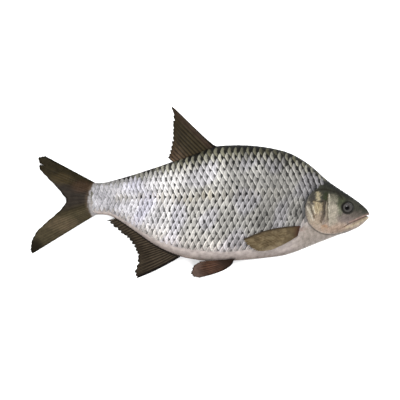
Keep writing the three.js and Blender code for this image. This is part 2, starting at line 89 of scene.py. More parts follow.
CAUDAL_RAYS = [
    [0, 0.7, 0.374, 0], [0.06, 0.757, 0.369, 0], [0.12, 0.778, 0.353, 0], [0.18, 0.745, 0.332, 0],
    [0.3, 0.702, 0.265, 0], [0.36, 0.6, 0.203, 0], [0.42, 0.46, 0.105, 0], [0.46, 0.367, 0.027, 0],
    [0.5, 0.325, -0.02, 0], [0.54, 0.361, -0.073, 0], [0.58, 0.468, -0.148, 0],
    [0.64, 0.6, -0.217, 0], [0.72, 0.745, -0.293, 0], [0.8, 0.832, -0.367, 0],
    [0.88, 0.88, -0.456, 0], [0.95, 0.894, -0.516, 0], [1, 0.884, -0.542, 0],
]
PECTORAL_RAYS = [
    [0, 0.994, 0.217, -0.064], [0.25, 0.921, 0.25, -0.04], [0.5, 0.814, 0.287, -0.01],
    [0.75, 0.679, 0.304, 0.01], [1, 0.466, 0.247, 0.02],
]
PELVIC_RAYS = [
    [0, 0.867, 0.457, 0.13], [0.25, 0.933, 0.421, 0.12], [0.5, 0.908, 0.336, 0.08],
    [0.75, 0.754, 0.155, 0.03], [1, 0.51, 0.039, 0],
]
DORSAL_ROOT = [0.452, 0.296]
ANAL_ROOT = [0.324, 0.089]
PECTORAL_ROOT = [[0.757, -0.182], [0.744, -0.262]]
PELVIC_ROOT = [[0.514, -0.472], [0.468, -0.472]]
DORSAL_SPAN, CAUDAL_SPAN, ANAL_SPAN, PECTORAL_SPAN, PELVIC_SPAN = 58.7, 73, 49.8, 60.5, 40.3
PELVIC_BOW_SKEW = 0.5
PELVIC_SPREAD = 5
PAIRED_FIN_FLARE = 2.5
MEDIAN_FIN_DROOP = 4
TAIL_TIP_HEIGHT = 0.7
PECTORAL_STAND, PECTORAL_SINK = 1.3, 1.6  # over the skin, and into it at the root
LOWEST_FIN = 1.1  # height of a paired fin that reaches the surface
SAG_START, TAIL_TIP_SHARE = 0.42, 0.86  # where the rear begins to sink, and where it ends
EYE_PLACE = [0.919, -0.024]
EYE_RADIUS = 5.7
EYE_HALF_DEPTH = 3.75
EYE_BULGE = 1.1


# ------------------------------
# Curves and the body's surface
def smooth(rows):
    """A smooth curve through rows of [position, value, ...], the same curve as the part's."""
    knots = np.array(rows, float)
    t, v = knots[:, 0], knots[:, 1:]
    gap = np.diff(t)[:, None]
    slope = np.diff(v, axis=0) / gap
    inner = (slope[:-1] * gap[1:] + slope[1:] * gap[:-1]) / (gap[:-1] + gap[1:])
    tangent = np.vstack([slope[:1], inner, slope[-1:]])

    def at(x):
        x = np.clip(np.asarray(x, float), t[0], t[-1])
        i = np.clip(np.searchsorted(t, x, side="right") - 1, 0, len(t) - 2)
        width = gap[i]
        s = ((x - t[i]) / gap[i, 0])[..., None]
        value = (
            v[i] * (1 + 2 * s) * (1 - s) ** 2
            + tangent[i] * width * s * (1 - s) ** 2
            + v[i + 1] * s * s * (3 - 2 * s)
            + tangent[i + 1] * width * s * s * (s - 1)
        )
        return value[..., 0] if value.shape[-1] == 1 else value

    return at


def step(low, high, x):
    """0 below low, 1 above high, smooth in between; low may be above high."""
    s = np.clip((np.asarray(x, float) - low) / (high - low), 0, 1)
    return s * s * (3 - 2 * s)


back_share, belly_share = smooth(BACK_PROFILE), smooth(BELLY_PROFILE)
thickness_share, widest_share = smooth(THICKNESS_PROFILE), smooth(WIDEST_LEVEL)
ridge_sharpness = smooth(RIDGE_SHARPNESS)

body_lo, body_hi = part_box("body")
LENGTH = (body_hi.x - body_lo.x) / MM
shares = np.linspace(0, 1, 2001)
BACK_MOST, BELLY_MOST = back_share(shares).max(), belly_share(shares).min()
DEPTH = (body_hi.y - body_lo.y) / MM / (BACK_MOST - BELLY_MOST)
AXIS_Y = body_hi.y - BACK_MOST * DEPTH * MM
THICKNESS = body_hi.z / MM + FLANK_PRESS
TRUNK_HEIGHT = THICKNESS / 2 - FLANK_PRESS
SAG_FROM = SAG_START * LENGTH
TAIL_TIP = -TAIL_TIP_SHARE * CAUDAL_SPAN


def to_frame(points):
    """Points in the fish's own frame, in millimetres, as metres in the row frame. What would
    reach below the surface is pressed flat against it."""
    p = np.asarray(points, float)
    z = p[..., 2]
    z = np.where(z > SOFT_PRESS, z, SOFT_PRESS * np.exp(np.minimum(z, SOFT_PRESS) / SOFT_PRESS - 1))
    return np.stack([body_lo.x + p[..., 0] * MM, AXIS_Y + p[..., 1] * MM, z * MM], axis=-1)


def middle_plane(x):
    t = np.clip((SAG_FROM - x) / (SAG_FROM - TAIL_TIP), 0, 1)
    return TRUNK_HEIGHT + (TAIL_TIP_HEIGHT - TRUNK_HEIGHT) * t * t * (1.5 - 0.5 * t)


def section(x):
    """Top, bottom, widest level, half thickness and ridge of the section at x."""
    share = np.clip(x / LENGTH, 0, 1)
    nose = np.maximum(0, (x - LENGTH + NOSE_ROUNDING) / NOSE_ROUNDING)
    tail = np.maximum(0, (TAIL_ROUNDING - x) / TAIL_ROUNDING)
    rounding = np.sqrt(np.maximum(0, 1 - nose**2 - tail**2))
    back, belly = back_share(share) * DEPTH, belly_share(share) * DEPTH
    middle = (back + belly) / 2
    top, bottom = middle + (back - middle) * rounding, middle + (belly - middle) * rounding
    widest = bottom + (top - bottom) * widest_share(share)
    half = thickness_share(share) * THICKNESS / 2 * rounding
    return top, bottom, widest, half, ridge_sharpness(share)


def half_at(x, y):
    """Half thickness of the body at a place, from its middle plane."""
    top, bottom, widest, half, ridge = section(x)
    reach = np.maximum(np.where(y > widest, top - widest, widest - bottom), 1e-6)
    level = np.minimum(1, np.abs(y - widest) / reach)
    return half * (1 - level**FLANK_POWER) ** ridge


def flank(x, angle, side):
    """A point of the skin: angle runs from -90 degrees at the keel to 90 at the back's ridge."""
    top, bottom, widest, half, ridge = section(x)
    rise = np.sin(angle)
    y = widest + rise * np.where(rise > 0, top - widest, widest - bottom)
    thick = half * np.maximum(0, 1 - np.abs(rise) ** FLANK_POWER) ** ridge
    x, y, thick = np.broadcast_arrays(x, y, thick)
    return np.stack([x, y, middle_plane(x) + side * thick], axis=-1)


def unit(v):
    return v / np.maximum(np.linalg.norm(v, axis=-1, keepdims=True), 1e-9)


def flank_normal(x, angle, side):
    turn, shift = 0.01, 0.3  # steps, in radians and millimetres, that the slope is taken over
    a = np.clip(angle, -math.pi / 2 + 2 * turn, math.pi / 2 - 2 * turn)
    b = np.clip(x, 0.5, LENGTH - 0.5)
    along = flank(b + shift, a, side) - flank(b - shift, a, side)
    around = flank(b, a + turn, side) - flank(b, a - turn, side)
    return unit(np.cross(along, around)) * side


def distance_to(line, x, y):
    """Distance of places to a smooth line through a few points."""
    line = np.array(line, float)
    if len(line) > 2:
        curve = smooth(np.column_stack([np.arange(len(line)), line]))
        line = curve(np.linspace(0, len(line) - 1, 5 * len(line)))
    best = np.full(np.shape(x), 1e9)
    for (ax, ay), (bx, by) in zip(line[:-1], line[1:]):
        dx, dy = bx - ax, by - ay
        t = np.clip(((x - ax) * dx + (y - ay) * dy) / (dx * dx + dy * dy), 0, 1)
        best = np.minimum(best, np.hypot(x - ax - t * dx, y - ay - t * dy))
    return best


def ripple(x, y, wavelength, seed):
    """Smooth irregular values around 0, mostly within 1, that change over about a wavelength."""
    draw = np.random.default_rng(seed)
    total = 0.0
    for _ in range(RIPPLE_WAVES):
        turn, phase = draw.uniform(0, 2 * math.pi, 2)
        far = 2 * math.pi / (wavelength * draw.uniform(0.7, 1.4))
        total = total + np.sin((x * math.cos(turn) + y * math.sin(turn)) * far + phase)
    return total / RIPPLE_SPAN


# ------------------------------
# Colours: written as they look in even light, as sRGB numbers from 0 to 255
LIGHT = 2.75  # how much brighter than a white surface in even light the studio light makes things


def colour(*rgb):
    """The albedo that shows as that colour in the studio light."""
    c = np.array(rgb, float) / 255
    return np.where(c <= 0.04045, c / 12.92, ((c + 0.055) / 1.055) ** 2.4) / LIGHT


def blend(base, other, share):
    share = np.asarray(share)[..., None]
    return base * (1 - share) + other * share


def layered(tint, *layers):
    """tint with layers of paint over it, each a colour as sRGB numbers and how much it covers."""
    for rgb, share in layers:
        tint = blend(tint, colour(*rgb), share)
    return tint


# ------------------------------
# Meshes
def grid_faces(rows, columns, closed=False):
    """Faces of a grid of points, each as four point numbers, and the same corners as row and
    column numbers, where a closed grid's last column isn't wrapped."""
    across = columns if closed else columns - 1
    i, j = np.meshgrid(np.arange(rows - 1), np.arange(across), indexing="ij")
    corner_i = np.stack([i, i + 1, i + 1, i], axis=-1).reshape(-1, 4)
    corner_j = np.stack([j, j, j + 1, j + 1], axis=-1).reshape(-1, 4)
    return corner_i * columns + corner_j % columns, corner_i, corner_j


def pole_caps(rings, around, places):
    """The two fans that close a tube at its poles, which are the last two points, and their
    corners' places in the bake map as (along, turn). places says where along the map the first
    pole, the first ring, the last ring and the last pole lie."""
    k = np.arange(around)
    after = (k + 1) % around
    count, last = rings * around, (rings - 1) * around
    first = np.stack([np.full(around, count), k, after], axis=-1)
    second = np.stack([np.full(around, count + 1), last + after, last + k], axis=-1)
    uv = []
    for pole, ring, left in ((places[0], places[1], 0), (places[3], places[2], 1)):
        turns = np.stack([k + 0.5, k + left, k + 1 - left], axis=-1) / around
        uv.append(np.stack([np.broadcast_to([pole, ring, ring], turns.shape), turns], axis=-1))
    return np.concatenate([first, second]), np.concatenate(uv)


def mesh_piece(name, points, parts, attributes, material, sharp):
    """A piece from points in the fish's own frame. parts holds pairs of faces and their corners'
    places in the bake map."""
    mesh = bpy.data.meshes.new(name)
    faces = [face for part, _ in parts for face in part.tolist()]
    mesh.from_pydata(to_frame(points).tolist(), [], faces)
    layer = mesh.uv_layers.new(name="OFBake")
    places = np.concatenate([uv.reshape(-1, 2) for _, uv in parts])
    layer.data.foreach_set("uv", places.astype(np.float32).ravel())
    for key, values in attributes.items():
        values = np.asarray(values, np.float32)
        kind, field = "FLOAT", "value"
        if key == "tint":
            kind, field = "FLOAT_COLOR", "color"
            values = np.column_stack([values, np.ones(len(values), np.float32)])
        elif values.ndim == 2:
            kind, field = "FLOAT_VECTOR", "vector"
        mesh.attributes.new(key, kind, "POINT").data.foreach_set(field, values.ravel())
    mesh.polygons.foreach_set("use_smooth", np.ones(len(mesh.polygons), bool))
    mesh.set_sharp_from_angle(angle=math.radians(sharp))
    mesh.materials.append(material)
    mesh.validate()
    piece = bpy.data.objects.new(name, mesh)
    bpy.context.scene.collection.objects.link(piece)
    return piece


# ------------------------------
# Materials
class Shader:
    """Builds one material's nodes."""

    def __init__(self, name, **constants):
        self.material = bpy.data.materials.new(name)
        self.material.use_nodes = True
        self.tree = self.material.node_tree
        self.out = self.tree.nodes["Principled BSDF"]
        for socket, value in constants.items():
            self.out.inputs[socket.replace("_", " ")].default_value = value

    def link(self, value, socket):
        if hasattr(value, "is_output"):
            self.tree.links.new(value, socket)
        else:
            socket.default_value = value

    def add(self, kind, inputs, output=0, **settings):
        made = self.tree.nodes.new(kind)
        for key, value in settings.items():
            setattr(made, key, value)
        for key, value in inputs.items():
            self.link(value, made.inputs[key])
        return made.outputs[output]

    def attribute(self, name, output="Fac"):
        return self.add("ShaderNodeAttribute", {}, output, attribute_name=name)

    def parts(self, name):
        """The three numbers of an attribute."""
        inputs = {"Vector": self.attribute(name, "Vector")}
        return self.add("ShaderNodeSeparateXYZ", inputs).node.outputs

    def math(self, operation, a, b=0.0, clamp=False):
        return self.add("ShaderNodeMath", {0: a, 1: b}, operation=operation, use_clamp=clamp)

    def plus(self, a, b):
        return self.math("ADD", a, b)

    def minus(self, a, b):
        return self.math("SUBTRACT", a, b)

    def times(self, a, b):
        return self.math("MULTIPLY", a, b)

    def ramp(self, value, low, high, to_low=0.0, to_high=1.0):
        """value mapped from low..high to to_low..to_high, smoothly."""
        inputs = {"Value": value, "From Min": low, "From Max": high}
        inputs.update({"To Min": to_low, "To Max": to_high})
        return self.add("ShaderNodeMapRange", inputs, interpolation_type="SMOOTHSTEP")

    def noise(self, scale, detail=3.0, stretch=(1, 1, 1)):
        place = self.add("ShaderNodeTexCoord", {}, "Object")
        place = self.add("ShaderNodeVectorMath", {0: place, 1: stretch}, operation="MULTIPLY")
        inputs = {"Vector": place, "Scale": scale, "Detail": detail, "Roughness": 0.55}
        return self.add("ShaderNodeTexNoise", inputs, "Fac")

    def grain(self, scale, detail, to_low, to_high):
        return self.ramp(self.noise(scale, detail), 0.3, 0.7, to_low, to_high)

    def mix(self, share, a, b):
        made = self.tree.nodes.new("ShaderNodeMix")
        made.data_type = "RGBA"
        made.clamp_factor = True
        self.link(share, made.inputs[0])
        for socket, value in ((made.inputs[6], a), (made.inputs[7], b)):
            if not hasattr(value, "is_output"):
                value = (*value, 1.0) if len(value) == 3 else value
            self.link(value, socket)
        return made.outputs[2]

    def shade(self, base, factor):
        """The colour base made darker or lighter by factor."""
        return self.add("ShaderNodeVectorMath", {0: base, "Scale": factor}, operation="SCALE")

    def finish(self, base, roughness, height, distance, strength):
        self.link(base, self.out.inputs["Base Color"])
        self.link(roughness, self.out.inputs["Roughness"])
        inputs = {"Height": height, "Distance": distance, "Strength": strength}
        self.link(self.add("ShaderNodeBump", inputs), self.out.inputs["Normal"])
        return self.material


def skin_material():
    s = Shader("skin", Specular_IOR_Level=0.06, Coat_Weight=0.015, Coat_Roughness=0.15)
    tint = s.attribute("tint", "Color")
    fine = s.noise(900, 3)
    speck = s.ramp(s.noise(1500, 2), 0.58, 0.72)
    shade = s.plus(s.grain(160, 4, 0.86, 1.1), s.ramp(fine, 0.3, 0.7, -0.08, 0.08))
    base = s.mix(s.times(speck, 0.3), s.shade(tint, shade), colour(70, 68, 58))
    dark = s.ramp(s.add("ShaderNodeRGBToBW", {"Color": tint}), 0.05, 0.01)
    rough = s.plus(s.grain(400, 3, 0.22, 0.4), s.times(dark, 0.35))
    return s.finish(base, rough, fine, 0.00012, 0.6)


EDGE_CURVE = 1.5  # how round a scale's free edge is
SPOT_PLACE, SPOT_HALF = 0.34, (0.27, 0.42)  # a scale's dark spot: where along it, and half its size


def scale_material():
    """A silvery scale: painted highlight and sheen by the free edge, grey middle, painted shadow under
    the covering scales' edges, and a dark spot of pigment and painted shade where the next ones cover
    it.
    """
    s = Shader("scales", Specular_IOR_Level=0.09, Coat_Weight=0.015, Coat_Roughness=0.15)
    tint = s.attribute("tint", "Color")
    along, across, seed = s.parts("place")
    spot_share, painted_light_share, towards = s.parts("tone")
    net = s.attribute("net")
    wide = s.math("ABSOLUTE", across)
    free = s.minus(s.times(s.math("POWER", wide, EDGE_CURVE), 0.5), 0.5)
    covered = s.times(s.math("POWER", s.math("SUBTRACT", 1.0, wide, True), EDGE_CURVE), 0.5)
    grain = s.noise(850, 4, (1, 0.45, 1))
    jitter = s.times(s.minus(grain, 0.5), 0.22)
    from_free = s.plus(s.minus(along, free), jitter)
    from_covered = s.plus(s.minus(covered, along), jitter)
    # painted highlight: a bright rim along the free edge, stronger on the side towards the lateral
    # line, with painted sheen behind it
    near_line = s.ramp(s.times(across, towards), -0.5, 0.3, 0.12, 1.0)
    rim = s.times(s.times(s.ramp(from_free, 0.26, 0.08), near_line), painted_light_share)
    sheen = s.times(s.ramp(from_free, 0.7, 0.2), painted_light_share)
    shadow = s.ramp(from_covered, s.ramp(net, 0.0, 1.0, 0.2, 0.36), 0.0)
    shadow = s.times(shadow, s.ramp(net, 0.0, 1.0, 0.7, 0.92))
    shadow = s.times(shadow, s.ramp(painted_light_share, 0.1, 0.6, 0.6, 1.0))
    # the dark spot: pigment, darkened further as painted shade where the scales in front cover this
    # one
    aside = s.math("DIVIDE", s.minus(along, SPOT_PLACE), SPOT_HALF[0])
    upward = s.math("DIVIDE", across, SPOT_HALF[1])
    off = s.plus(s.times(aside, aside), s.times(upward, upward))
    off = s.times(off, s.ramp(net, 0.0, 1.0, 1.0, 0.48))
    spot = s.times(s.ramp(s.plus(off, s.times(jitter, 3.0)), 1.35, 0.4), spot_share)
    shade = s.plus(s.ramp(grain, 0.32, 0.68, 0.68, 1.28), s.times(seed, 0.18))
    base = s.shade(tint, shade)
    # the painted sheen and the painted highlight laid over the scale's colour
    base = s.mix(s.times(sheen, 0.7), base, s.shade(base, 1.8))
    base = s.mix(rim, base, s.shade(tint, 2.8))
    base = s.mix(shadow, base, s.shade(tint, 0.2))
    base = s.mix(spot, base, s.shade(tint, 0.04))
    rings = s.add(
        "ShaderNodeTexWave",
        {"Vector": s.attribute("place", "Vector"), "Scale": 2.6, "Distortion": 1.4, "Detail": 1.0},
        "Fac",
        bands_direction="X",
    )
    base = s.shade(base, s.ramp(rings, 0.2, 0.8, 0.87, 1.11))
    rough = s.plus(s.grain(500, 3, 0.24, 0.42), s.times(net, 0.3))
    height = s.plus(s.times(rings, 0.35), grain)
    return s.finish(base, rough, height, 0.00014, 0.7)


def fin_material():
    s = Shader("fin", Specular_IOR_Level=0.035)
    tint = s.attribute("tint", "Color")
    fine = s.noise(1100, 3)
    shade = s.plus(s.grain(220, 4, 0.8, 1.18), s.ramp(fine, 0.3, 0.7, -0.12, 0.12))
    return s.finish(s.shade(tint, shade), s.grain(500, 3, 0.34, 0.52), fine, 0.0001, 0.5)


def eye_material():
    s = Shader("eye", Specular_IOR_Level=0.15, Coat_Weight=0.06, Coat_Roughness=0.1)
    tint = s.attribute("tint", "Color")
    flecks = s.noise(1600, 3)
    shade = s.ramp(flecks, 0.3, 0.7, 0.75, 1.25)
    return s.finish(s.shade(tint, shade), s.grain(700, 2, 0.12, 0.2), flecks, 0.00004, 0.3)


# ------------------------------
# The head's and the skin's relief and colours, as places in the fish's own frame
GILL_CENTRE, GILL_RADIUS = (246.5, -5.0), 25.0
NAPE_START, NAPE_SLOPE = (234.8, 17.1), 0.75
THROAT_LINE = [[243, -29.8], [256, -29.4], [270.9, -25], [289, -15]]
throat_at = smooth(THROAT_LINE)


def gill_line():
    (cx, cy), angles = GILL_CENTRE, np.radians(np.linspace(118, 262, 13))
    arc = [[cx + GILL_RADIUS * math.cos(a), cy + GILL_RADIUS * math.sin(a)] for a in angles]
    return arc + THROAT_LINE[1:3]


def into_head(x, y):
    """Distance from the free edge of the gill cover, above 0 on the head's side."""
    reach = np.sqrt(np.maximum(0, GILL_RADIUS**2 - (y - GILL_CENTRE[1]) ** 2))
    nape_edge = NAPE_START[0] + (y - NAPE_START[1]) * NAPE_SLOPE
    edge = np.where(y > NAPE_START[1], nape_edge, GILL_CENTRE[0] - reach)
    inside = (x > edge) & ((y > throat_at(x)) | (x < THROAT_LINE[0][0]))
    nape = [NAPE_START, (NAPE_START[0] + 40 * NAPE_SLOPE, NAPE_START[1] + 40)]
    away = np.minimum(distance_to(gill_line(), x, y), distance_to(nape, x, y))
    return np.where(inside, away, -away)


def cover_stands(x, y):
    """1 where the gill cover's edge stands up, fading to 0 at the nape and the throat."""
    return step(24, 15, y) * step(266, 254, x)


def recess(x, y):
    """How deep the skin lies behind the gill cover's edge."""
    return np.exp(np.minimum(into_head(x, y), 0) / 1.4) * cover_stands(x, y)


MOUTH_LINE = [(289.5, -10.9), (283, -13), (269, -19), (263, -22.4)]
MOUTH_DEPTH = 4.0  # how far the gap between the lips runs in at the snout
STROKE_WARP = 0.5
# folds and plate edges: line, half width, height, colour, strength of the colour. The dark colours
# laid in the grooves (height below 0), the mouth's gap and the nostril among them, are painted shade
STROKES = [
    ([(246.6, 11), (246.9, -2), (246.6, -14), (247.6, -20.5)], 0.9, 0.55, (196, 188, 170), 0.75),
    ([(245.2, 10), (245.5, -2), (245.1, -17)], 0.55, -0.5, (84, 74, 56), 0.8),
    ([(243.9, 3), (243.7, -8), (243.2, -18)], 0.6, 0.35, (158, 146, 124), 0.75),
    ([(242.6, 5), (242.3, -4), (240.8, -15)], 0.8, -0.35, (54, 44, 32), 0.9),
    ([(240.2, 4), (240, -6), (238.2, -18)], 0.9, -0.2, (68, 56, 40), 0.75),
    ([(228.5, 3.9), (234, 3.4), (239.6, 3.7)], 0.5, -0.35, (46, 42, 32), 0.9),
    ([(226.0, 1.5), (228.5, -5.5), (231.4, -13.5)], 0.65, -0.4, (64, 58, 46), 0.85),
    ([(223.4, -1), (226.3, -8), (230.5, -16)], 0.75, 0.25, (204, 196, 180), 0.75),
    ([(229.4, -0.8), (231, -4.6), (232.6, -8)], 0.7, 0.2, (216, 208, 186), 0.75),
    ([(236.6, -1), (234, -8), (230.6, -13)], 0.5, -0.2, (96, 80, 56), 0.55),
    ([(233.4, 1.5), (235.5, -4), (235.2, -10)], 0.45, 0.15, (214, 202, 168), 0.55),
    ([(231, -16), (236, -21), (243, -24.5)], 0.8, 0.2, (190, 176, 156), 0.45),
    ([(233, 14.8), (240, 16), (247.5, 14.6), (256, 11.6), (261.5, 5)], 0.9, -0.25, (40, 38, 30), 0.85),
    ([(262, 5.5), (258.6, 3), (257.6, -2)], 1.5, -0.1, (78, 82, 62), 0.6),
    (MOUTH_LINE, 0.6, -0.9, (92, 68, 56), 0.75),
    ([(289, -9.2), (283, -11.3), (275, -14.8), (268, -17.6)], 0.9, 0.3, (160, 132, 122), 0.75),
    ([(284.5, -13.6), (278, -16.3), (271, -19.6)], 0.55, 0.15, (112, 84, 64), 0.6),
    ([(287.4, -13.4), (281, -16), (272, -20.6), (265, -23.6)], 1.1, 0.35, (206, 190, 160), 0.85),
    ([(264, -22), (256, -24.2), (249, -25)], 0.7, -0.2, (140, 112, 94), 0.35),
    ([(278.5, -1.5), (280.3, -2.6)], 0.75, -0.5, (34, 32, 28), 0.7),
    ([(268, -24), (258, -27), (249, -28.2)], 0.6, -0.3, (126, 106, 90), 0.4),
    ([(262, -12), (268, -12.6), (275, -9.5), (280, -6)], 0.9, -0.22, (96, 88, 82), 0.4),
]
# patches of colour: centre, half sizes, turn in degrees, colour, strength
PATCHES = [
    ((251.0, -8), (5.6, 15), 0, (178, 169, 153), 0.9),
    ((251.5, 6), (5, 5), 0, (122, 119, 104), 0.7),
    ((257.2, -4.5), (2.6, 9), 8, (122, 124, 104), 0.6),
    ((259.5, 4), (3.4, 5), 20, (66, 69, 52), 0.75),
    ((243.6, 9), (2.9, 5), 0, (50, 56, 36), 0.85),
    ((235.2, 9), (3.4, 4.6), 0, (180, 168, 138), 0.8),
    ((229.0, 8), (2.6, 4.4), 10, (62, 60, 56), 0.75),
    ((234.4, -2.8), (4.6, 6.8), 0, (174, 157, 126), 0.85),
    ((233, -15), (6.5, 8), 0, (172, 154, 134), 0.75),
    ((226.5, -8), (2.6, 10), 0, (176, 166, 146), 0.6),
    ((265, -15), (9, 5), -12, (128, 117, 114), 0.7),
    ((275, -10.5), (7, 4.5), -25, (92, 85, 79), 0.6),
    ((241.8, -22.8), (4.2, 2.4), 0, (176, 134, 100), 0.8),
    ((254, -24), (16, 4.4), 4, (172, 148, 130), 0.7),
    ((273, 0), (7, 6), -20, (68, 67, 58), 0.7),
    # by the pectoral fin's root: a pinkish blotch that is also the fin's painted soft shadow on the
    # skin
    ((216, -24), (6, 3.2), -20, (150, 118, 110), 0.5),
]
# level from the keel (0) to the ridge (1), then the colour there; the darker colour at the keel is
# painted shade along the belly's edge, and the near black at the ridge is the dark back with painted
# shade where the light falls off
HEAD_TONES = [
    [0, 124, 108, 96], [0.05, 176, 159, 143], [0.15, 190, 172, 156], [0.3, 148, 134, 123],
    [0.45, 114, 106, 98], [0.6, 80, 77, 70], [0.75, 62, 62, 54], [0.88, 50, 50, 43],
    [0.955, 24, 24, 20], [1, 10, 10, 8],
]
# the same for the trunk, with painted shade at the keel and at the ridge over the dark back
TRUNK_TONES = [
    [0, 128, 114, 106], [0.04, 178, 166, 160], [0.2, 188, 178, 173], [0.5, 150, 147, 142],
    [0.75, 108, 106, 96], [0.9, 44, 42, 35], [1, 18, 17, 13],
]


def warped(x, y, share=1.0):
    """Places shifted a little, so that no mark on the head is a plain shape."""
    much = share * (0.25 + 0.75 * step(264, 254, x))
    return (
        x + much * (0.7 * ripple(x, y, 9, 21) + 0.4 * ripple(x, y, 3, 22)),
        y + much * (0.7 * ripple(x, y, 9, 23) + 0.4 * ripple(x, y, 3, 24)),
    )


def stroke_relief(x, y):
    total = np.zeros(np.shape(x))
    x, y = warped(x, y, STROKE_WARP)
    for line, width, height, _, _ in STROKES:
        total += height * np.exp(-((distance_to(line, x, y) / width) ** 2))
    return total


def from_eye(x, y):
    return np.hypot(x - EYE_PLACE[0] * LENGTH, y - EYE_PLACE[1] * DEPTH)


def orbit_relief(x, y):
    """The eye's socket, with a raised rim and a fold round it."""
    away = from_eye(x, y)
    rim = 0.3 * np.exp(-(((away - 7.0) / 1.0) ** 2))
    fold = -0.5 * np.exp(-(((away - 5.7) / 0.6) ** 2))
    return rim + fold - 2.2 * step(5.6, 4.2, away)


def head_relief(x, y):
    away = into_head(x, y)
    swell = 0.75 * (1 - np.exp(-np.maximum(away, 0) / 0.5)) * np.exp(-np.maximum(away, 0) / 12)
    swell = swell * cover_stands(x, y)
    plates = stroke_relief(x, y) * step(-1, 1, away)
    return swell - recess(x, y) * (away < 0) + plates + orbit_relief(x, y)


def tone_at(rows, level):
    """The colour at a level, from rows of [level, red, green, blue]."""
    return smooth([[row[0], *colour(*row[1:])] for row in rows])(level)


def painted(tint, x, y, away):
    """tint with the head's patches and strokes over it."""
    px, py = warped(x, y)
    ragged = 0.16 * ripple(px, py, 4, 25) + 0.1 * ripple(px, py, 1.7, 26)
    for (cx, cy), (wide, tall), turn, rgb, strength in PATCHES:
        c, s = math.cos(math.radians(turn)), math.sin(math.radians(turn))
        ax, ay = (px - cx) * c + (py - cy) * s, -(px - cx) * s + (py - cy) * c
        share = strength * step(1.4, 0.5, np.hypot(ax / wide, ay / tall) + ragged)
        tint = blend(tint, colour(*rgb), share)
    px, py = warped(x, y, STROKE_WARP)
    for line, width, _, rgb, strength in STROKES:
        share = strength * np.exp(-((distance_to(line, px, py) / width) ** 2))
        tint = blend(tint, colour(*rgb), share * step(-0.5, 0.5, away))
    return tint


def skin_colour(x, y):
    top, bottom, _, _, _ = section(x)
    level = np.clip((y - bottom) / np.maximum(top - bottom, 1e-6), 0, 1)
    away = into_head(x, y)
    tint = blend(tone_at(TRUNK_TONES, level), tone_at(HEAD_TONES, level), step(-1, 1.5, away))
    throat = step(0.5, -0.5, away) * step(200, 225, x) * step(-18, -26, y)
    tint = painted(blend(tint, colour(168, 157, 148), throat), x, y, away)
    # painted shade: a dark line just behind the gill cover's free edge, where the cover overhangs the
    # skin
    edge = np.exp(-(((away + 0.4) / 0.9) ** 2)) * step(22, 12, y) * step(276, 262, x)
    tint = blend(tint, colour(50, 48, 40), (0.55 + 0.35 * step(-20, -10, y)) * edge)
    fine = (0.07 + 0.08 * step(-1, 2, away)) * ripple(x, y, 1.7, 32)
    tint = tint * (1 + 0.1 * ripple(x, y, 4.5, 31) + fine)[..., None]
    # a dark ring round the eye's socket: dark skin there, deepened with painted shade over the
    # socket's rim and fold
    return blend(tint, colour(30, 29, 25), 0.85 * step(7.5, 6.2, from_eye(x, y)))


HEAD_FROM, NOSE_FROM = 218, 282  # where the skin's mesh grows finer
SKIN_AROUND = 320


def build_skin(material):
    tail = TAIL_ROUNDING * (1 - np.cos(np.linspace(0.12, 1, 7) * math.pi / 2))
    trunk = np.linspace(TAIL_ROUNDING + 1.5, HEAD_FROM, 86)
    head = np.linspace(HEAD_FROM + 0.6, NOSE_FROM, 116)
    nose = NOSE_FROM + (LENGTH - NOSE_FROM) * np.sin(np.linspace(0.05, 0.985, 22) * math.pi / 2)
    stations = np.concatenate([tail, trunk, head, nose])
    angles = np.linspace(0, 2 * math.pi, SKIN_AROUND, endpoint=False)
    x, angle = np.meshgrid(stations, angles, indexing="ij")
    side = np.where(np.cos(angle) < 0, -1.0, 1.0)
    base = flank(x, angle, side)
    around = np.roll(base, -1, axis=1) - np.roll(base, 1, axis=1)
    normal = unit(np.cross(around, np.gradient(base, axis=0)))
    normal = normal * np.sign(np.mean(normal[..., 2] * side))
    points = base + normal * head_relief(x, base[..., 1])[..., None]
    lips = np.exp(-((distance_to(MOUTH_LINE, x, base[..., 1]) / 0.6) ** 2))
    points[..., 0] -= MOUTH_DEPTH * lips * step(281, 288, x)
    tint = skin_colour(x, base[..., 1])
    poles = [base[0].mean(axis=0), base[-1].mean(axis=0)]
    poles[0][0], poles[1][0] = 0.02, LENGTH
    faces, row, column = grid_faces(len(stations), SKIN_AROUND, closed=True)
    uv = np.stack([stations[row] / LENGTH, column / SKIN_AROUND], axis=-1) * 0.98 + 0.01
    caps, cap_uv = pole_caps(len(stations), SKIN_AROUND, (0.0, 0.01, 0.99, 1.0))
    parts = [(faces, uv), (caps, cap_uv * [1, 0.98] + [0, 0.01])]
    points = np.concatenate([points.reshape(-1, 3), poles])
    tint = np.concatenate([tint.reshape(-1, 3), tint[[0, -1]].mean(axis=1)])
    return mesh_piece("skin", points, parts, {"tint": tint}, material, sharp=70)


# ------------------------------
# Scales
COLUMN_PITCH = smooth([
    [0, 4.9], [60, 4.8], [98, 6.0], [140, 7.1], [158, 6.3], [180, 6.7], [214, 5.8], [245, 5.4],
])
ROW_PITCH = smooth([
    [0, 4.6], [25, 5.3], [42, 5.8], [62, 6.1], [85, 6.3], [110, 6.5], [150, 6.6], [240, 6.6],
])
LATERAL_LINE = smooth([
    [0, 6.8], [30, 7.6], [83, 7.8], [114, 9.2], [145, 10.8], [176, 11.8], [245, 12.0],
])
# how high above the keel the belly is bare
BARE_BELLY = smooth([
    [0, 2], [40, 4], [62, 6], [100, 11], [155, 12.5], [190, 16], [205, 23], [218, 30], [245, 37],
])
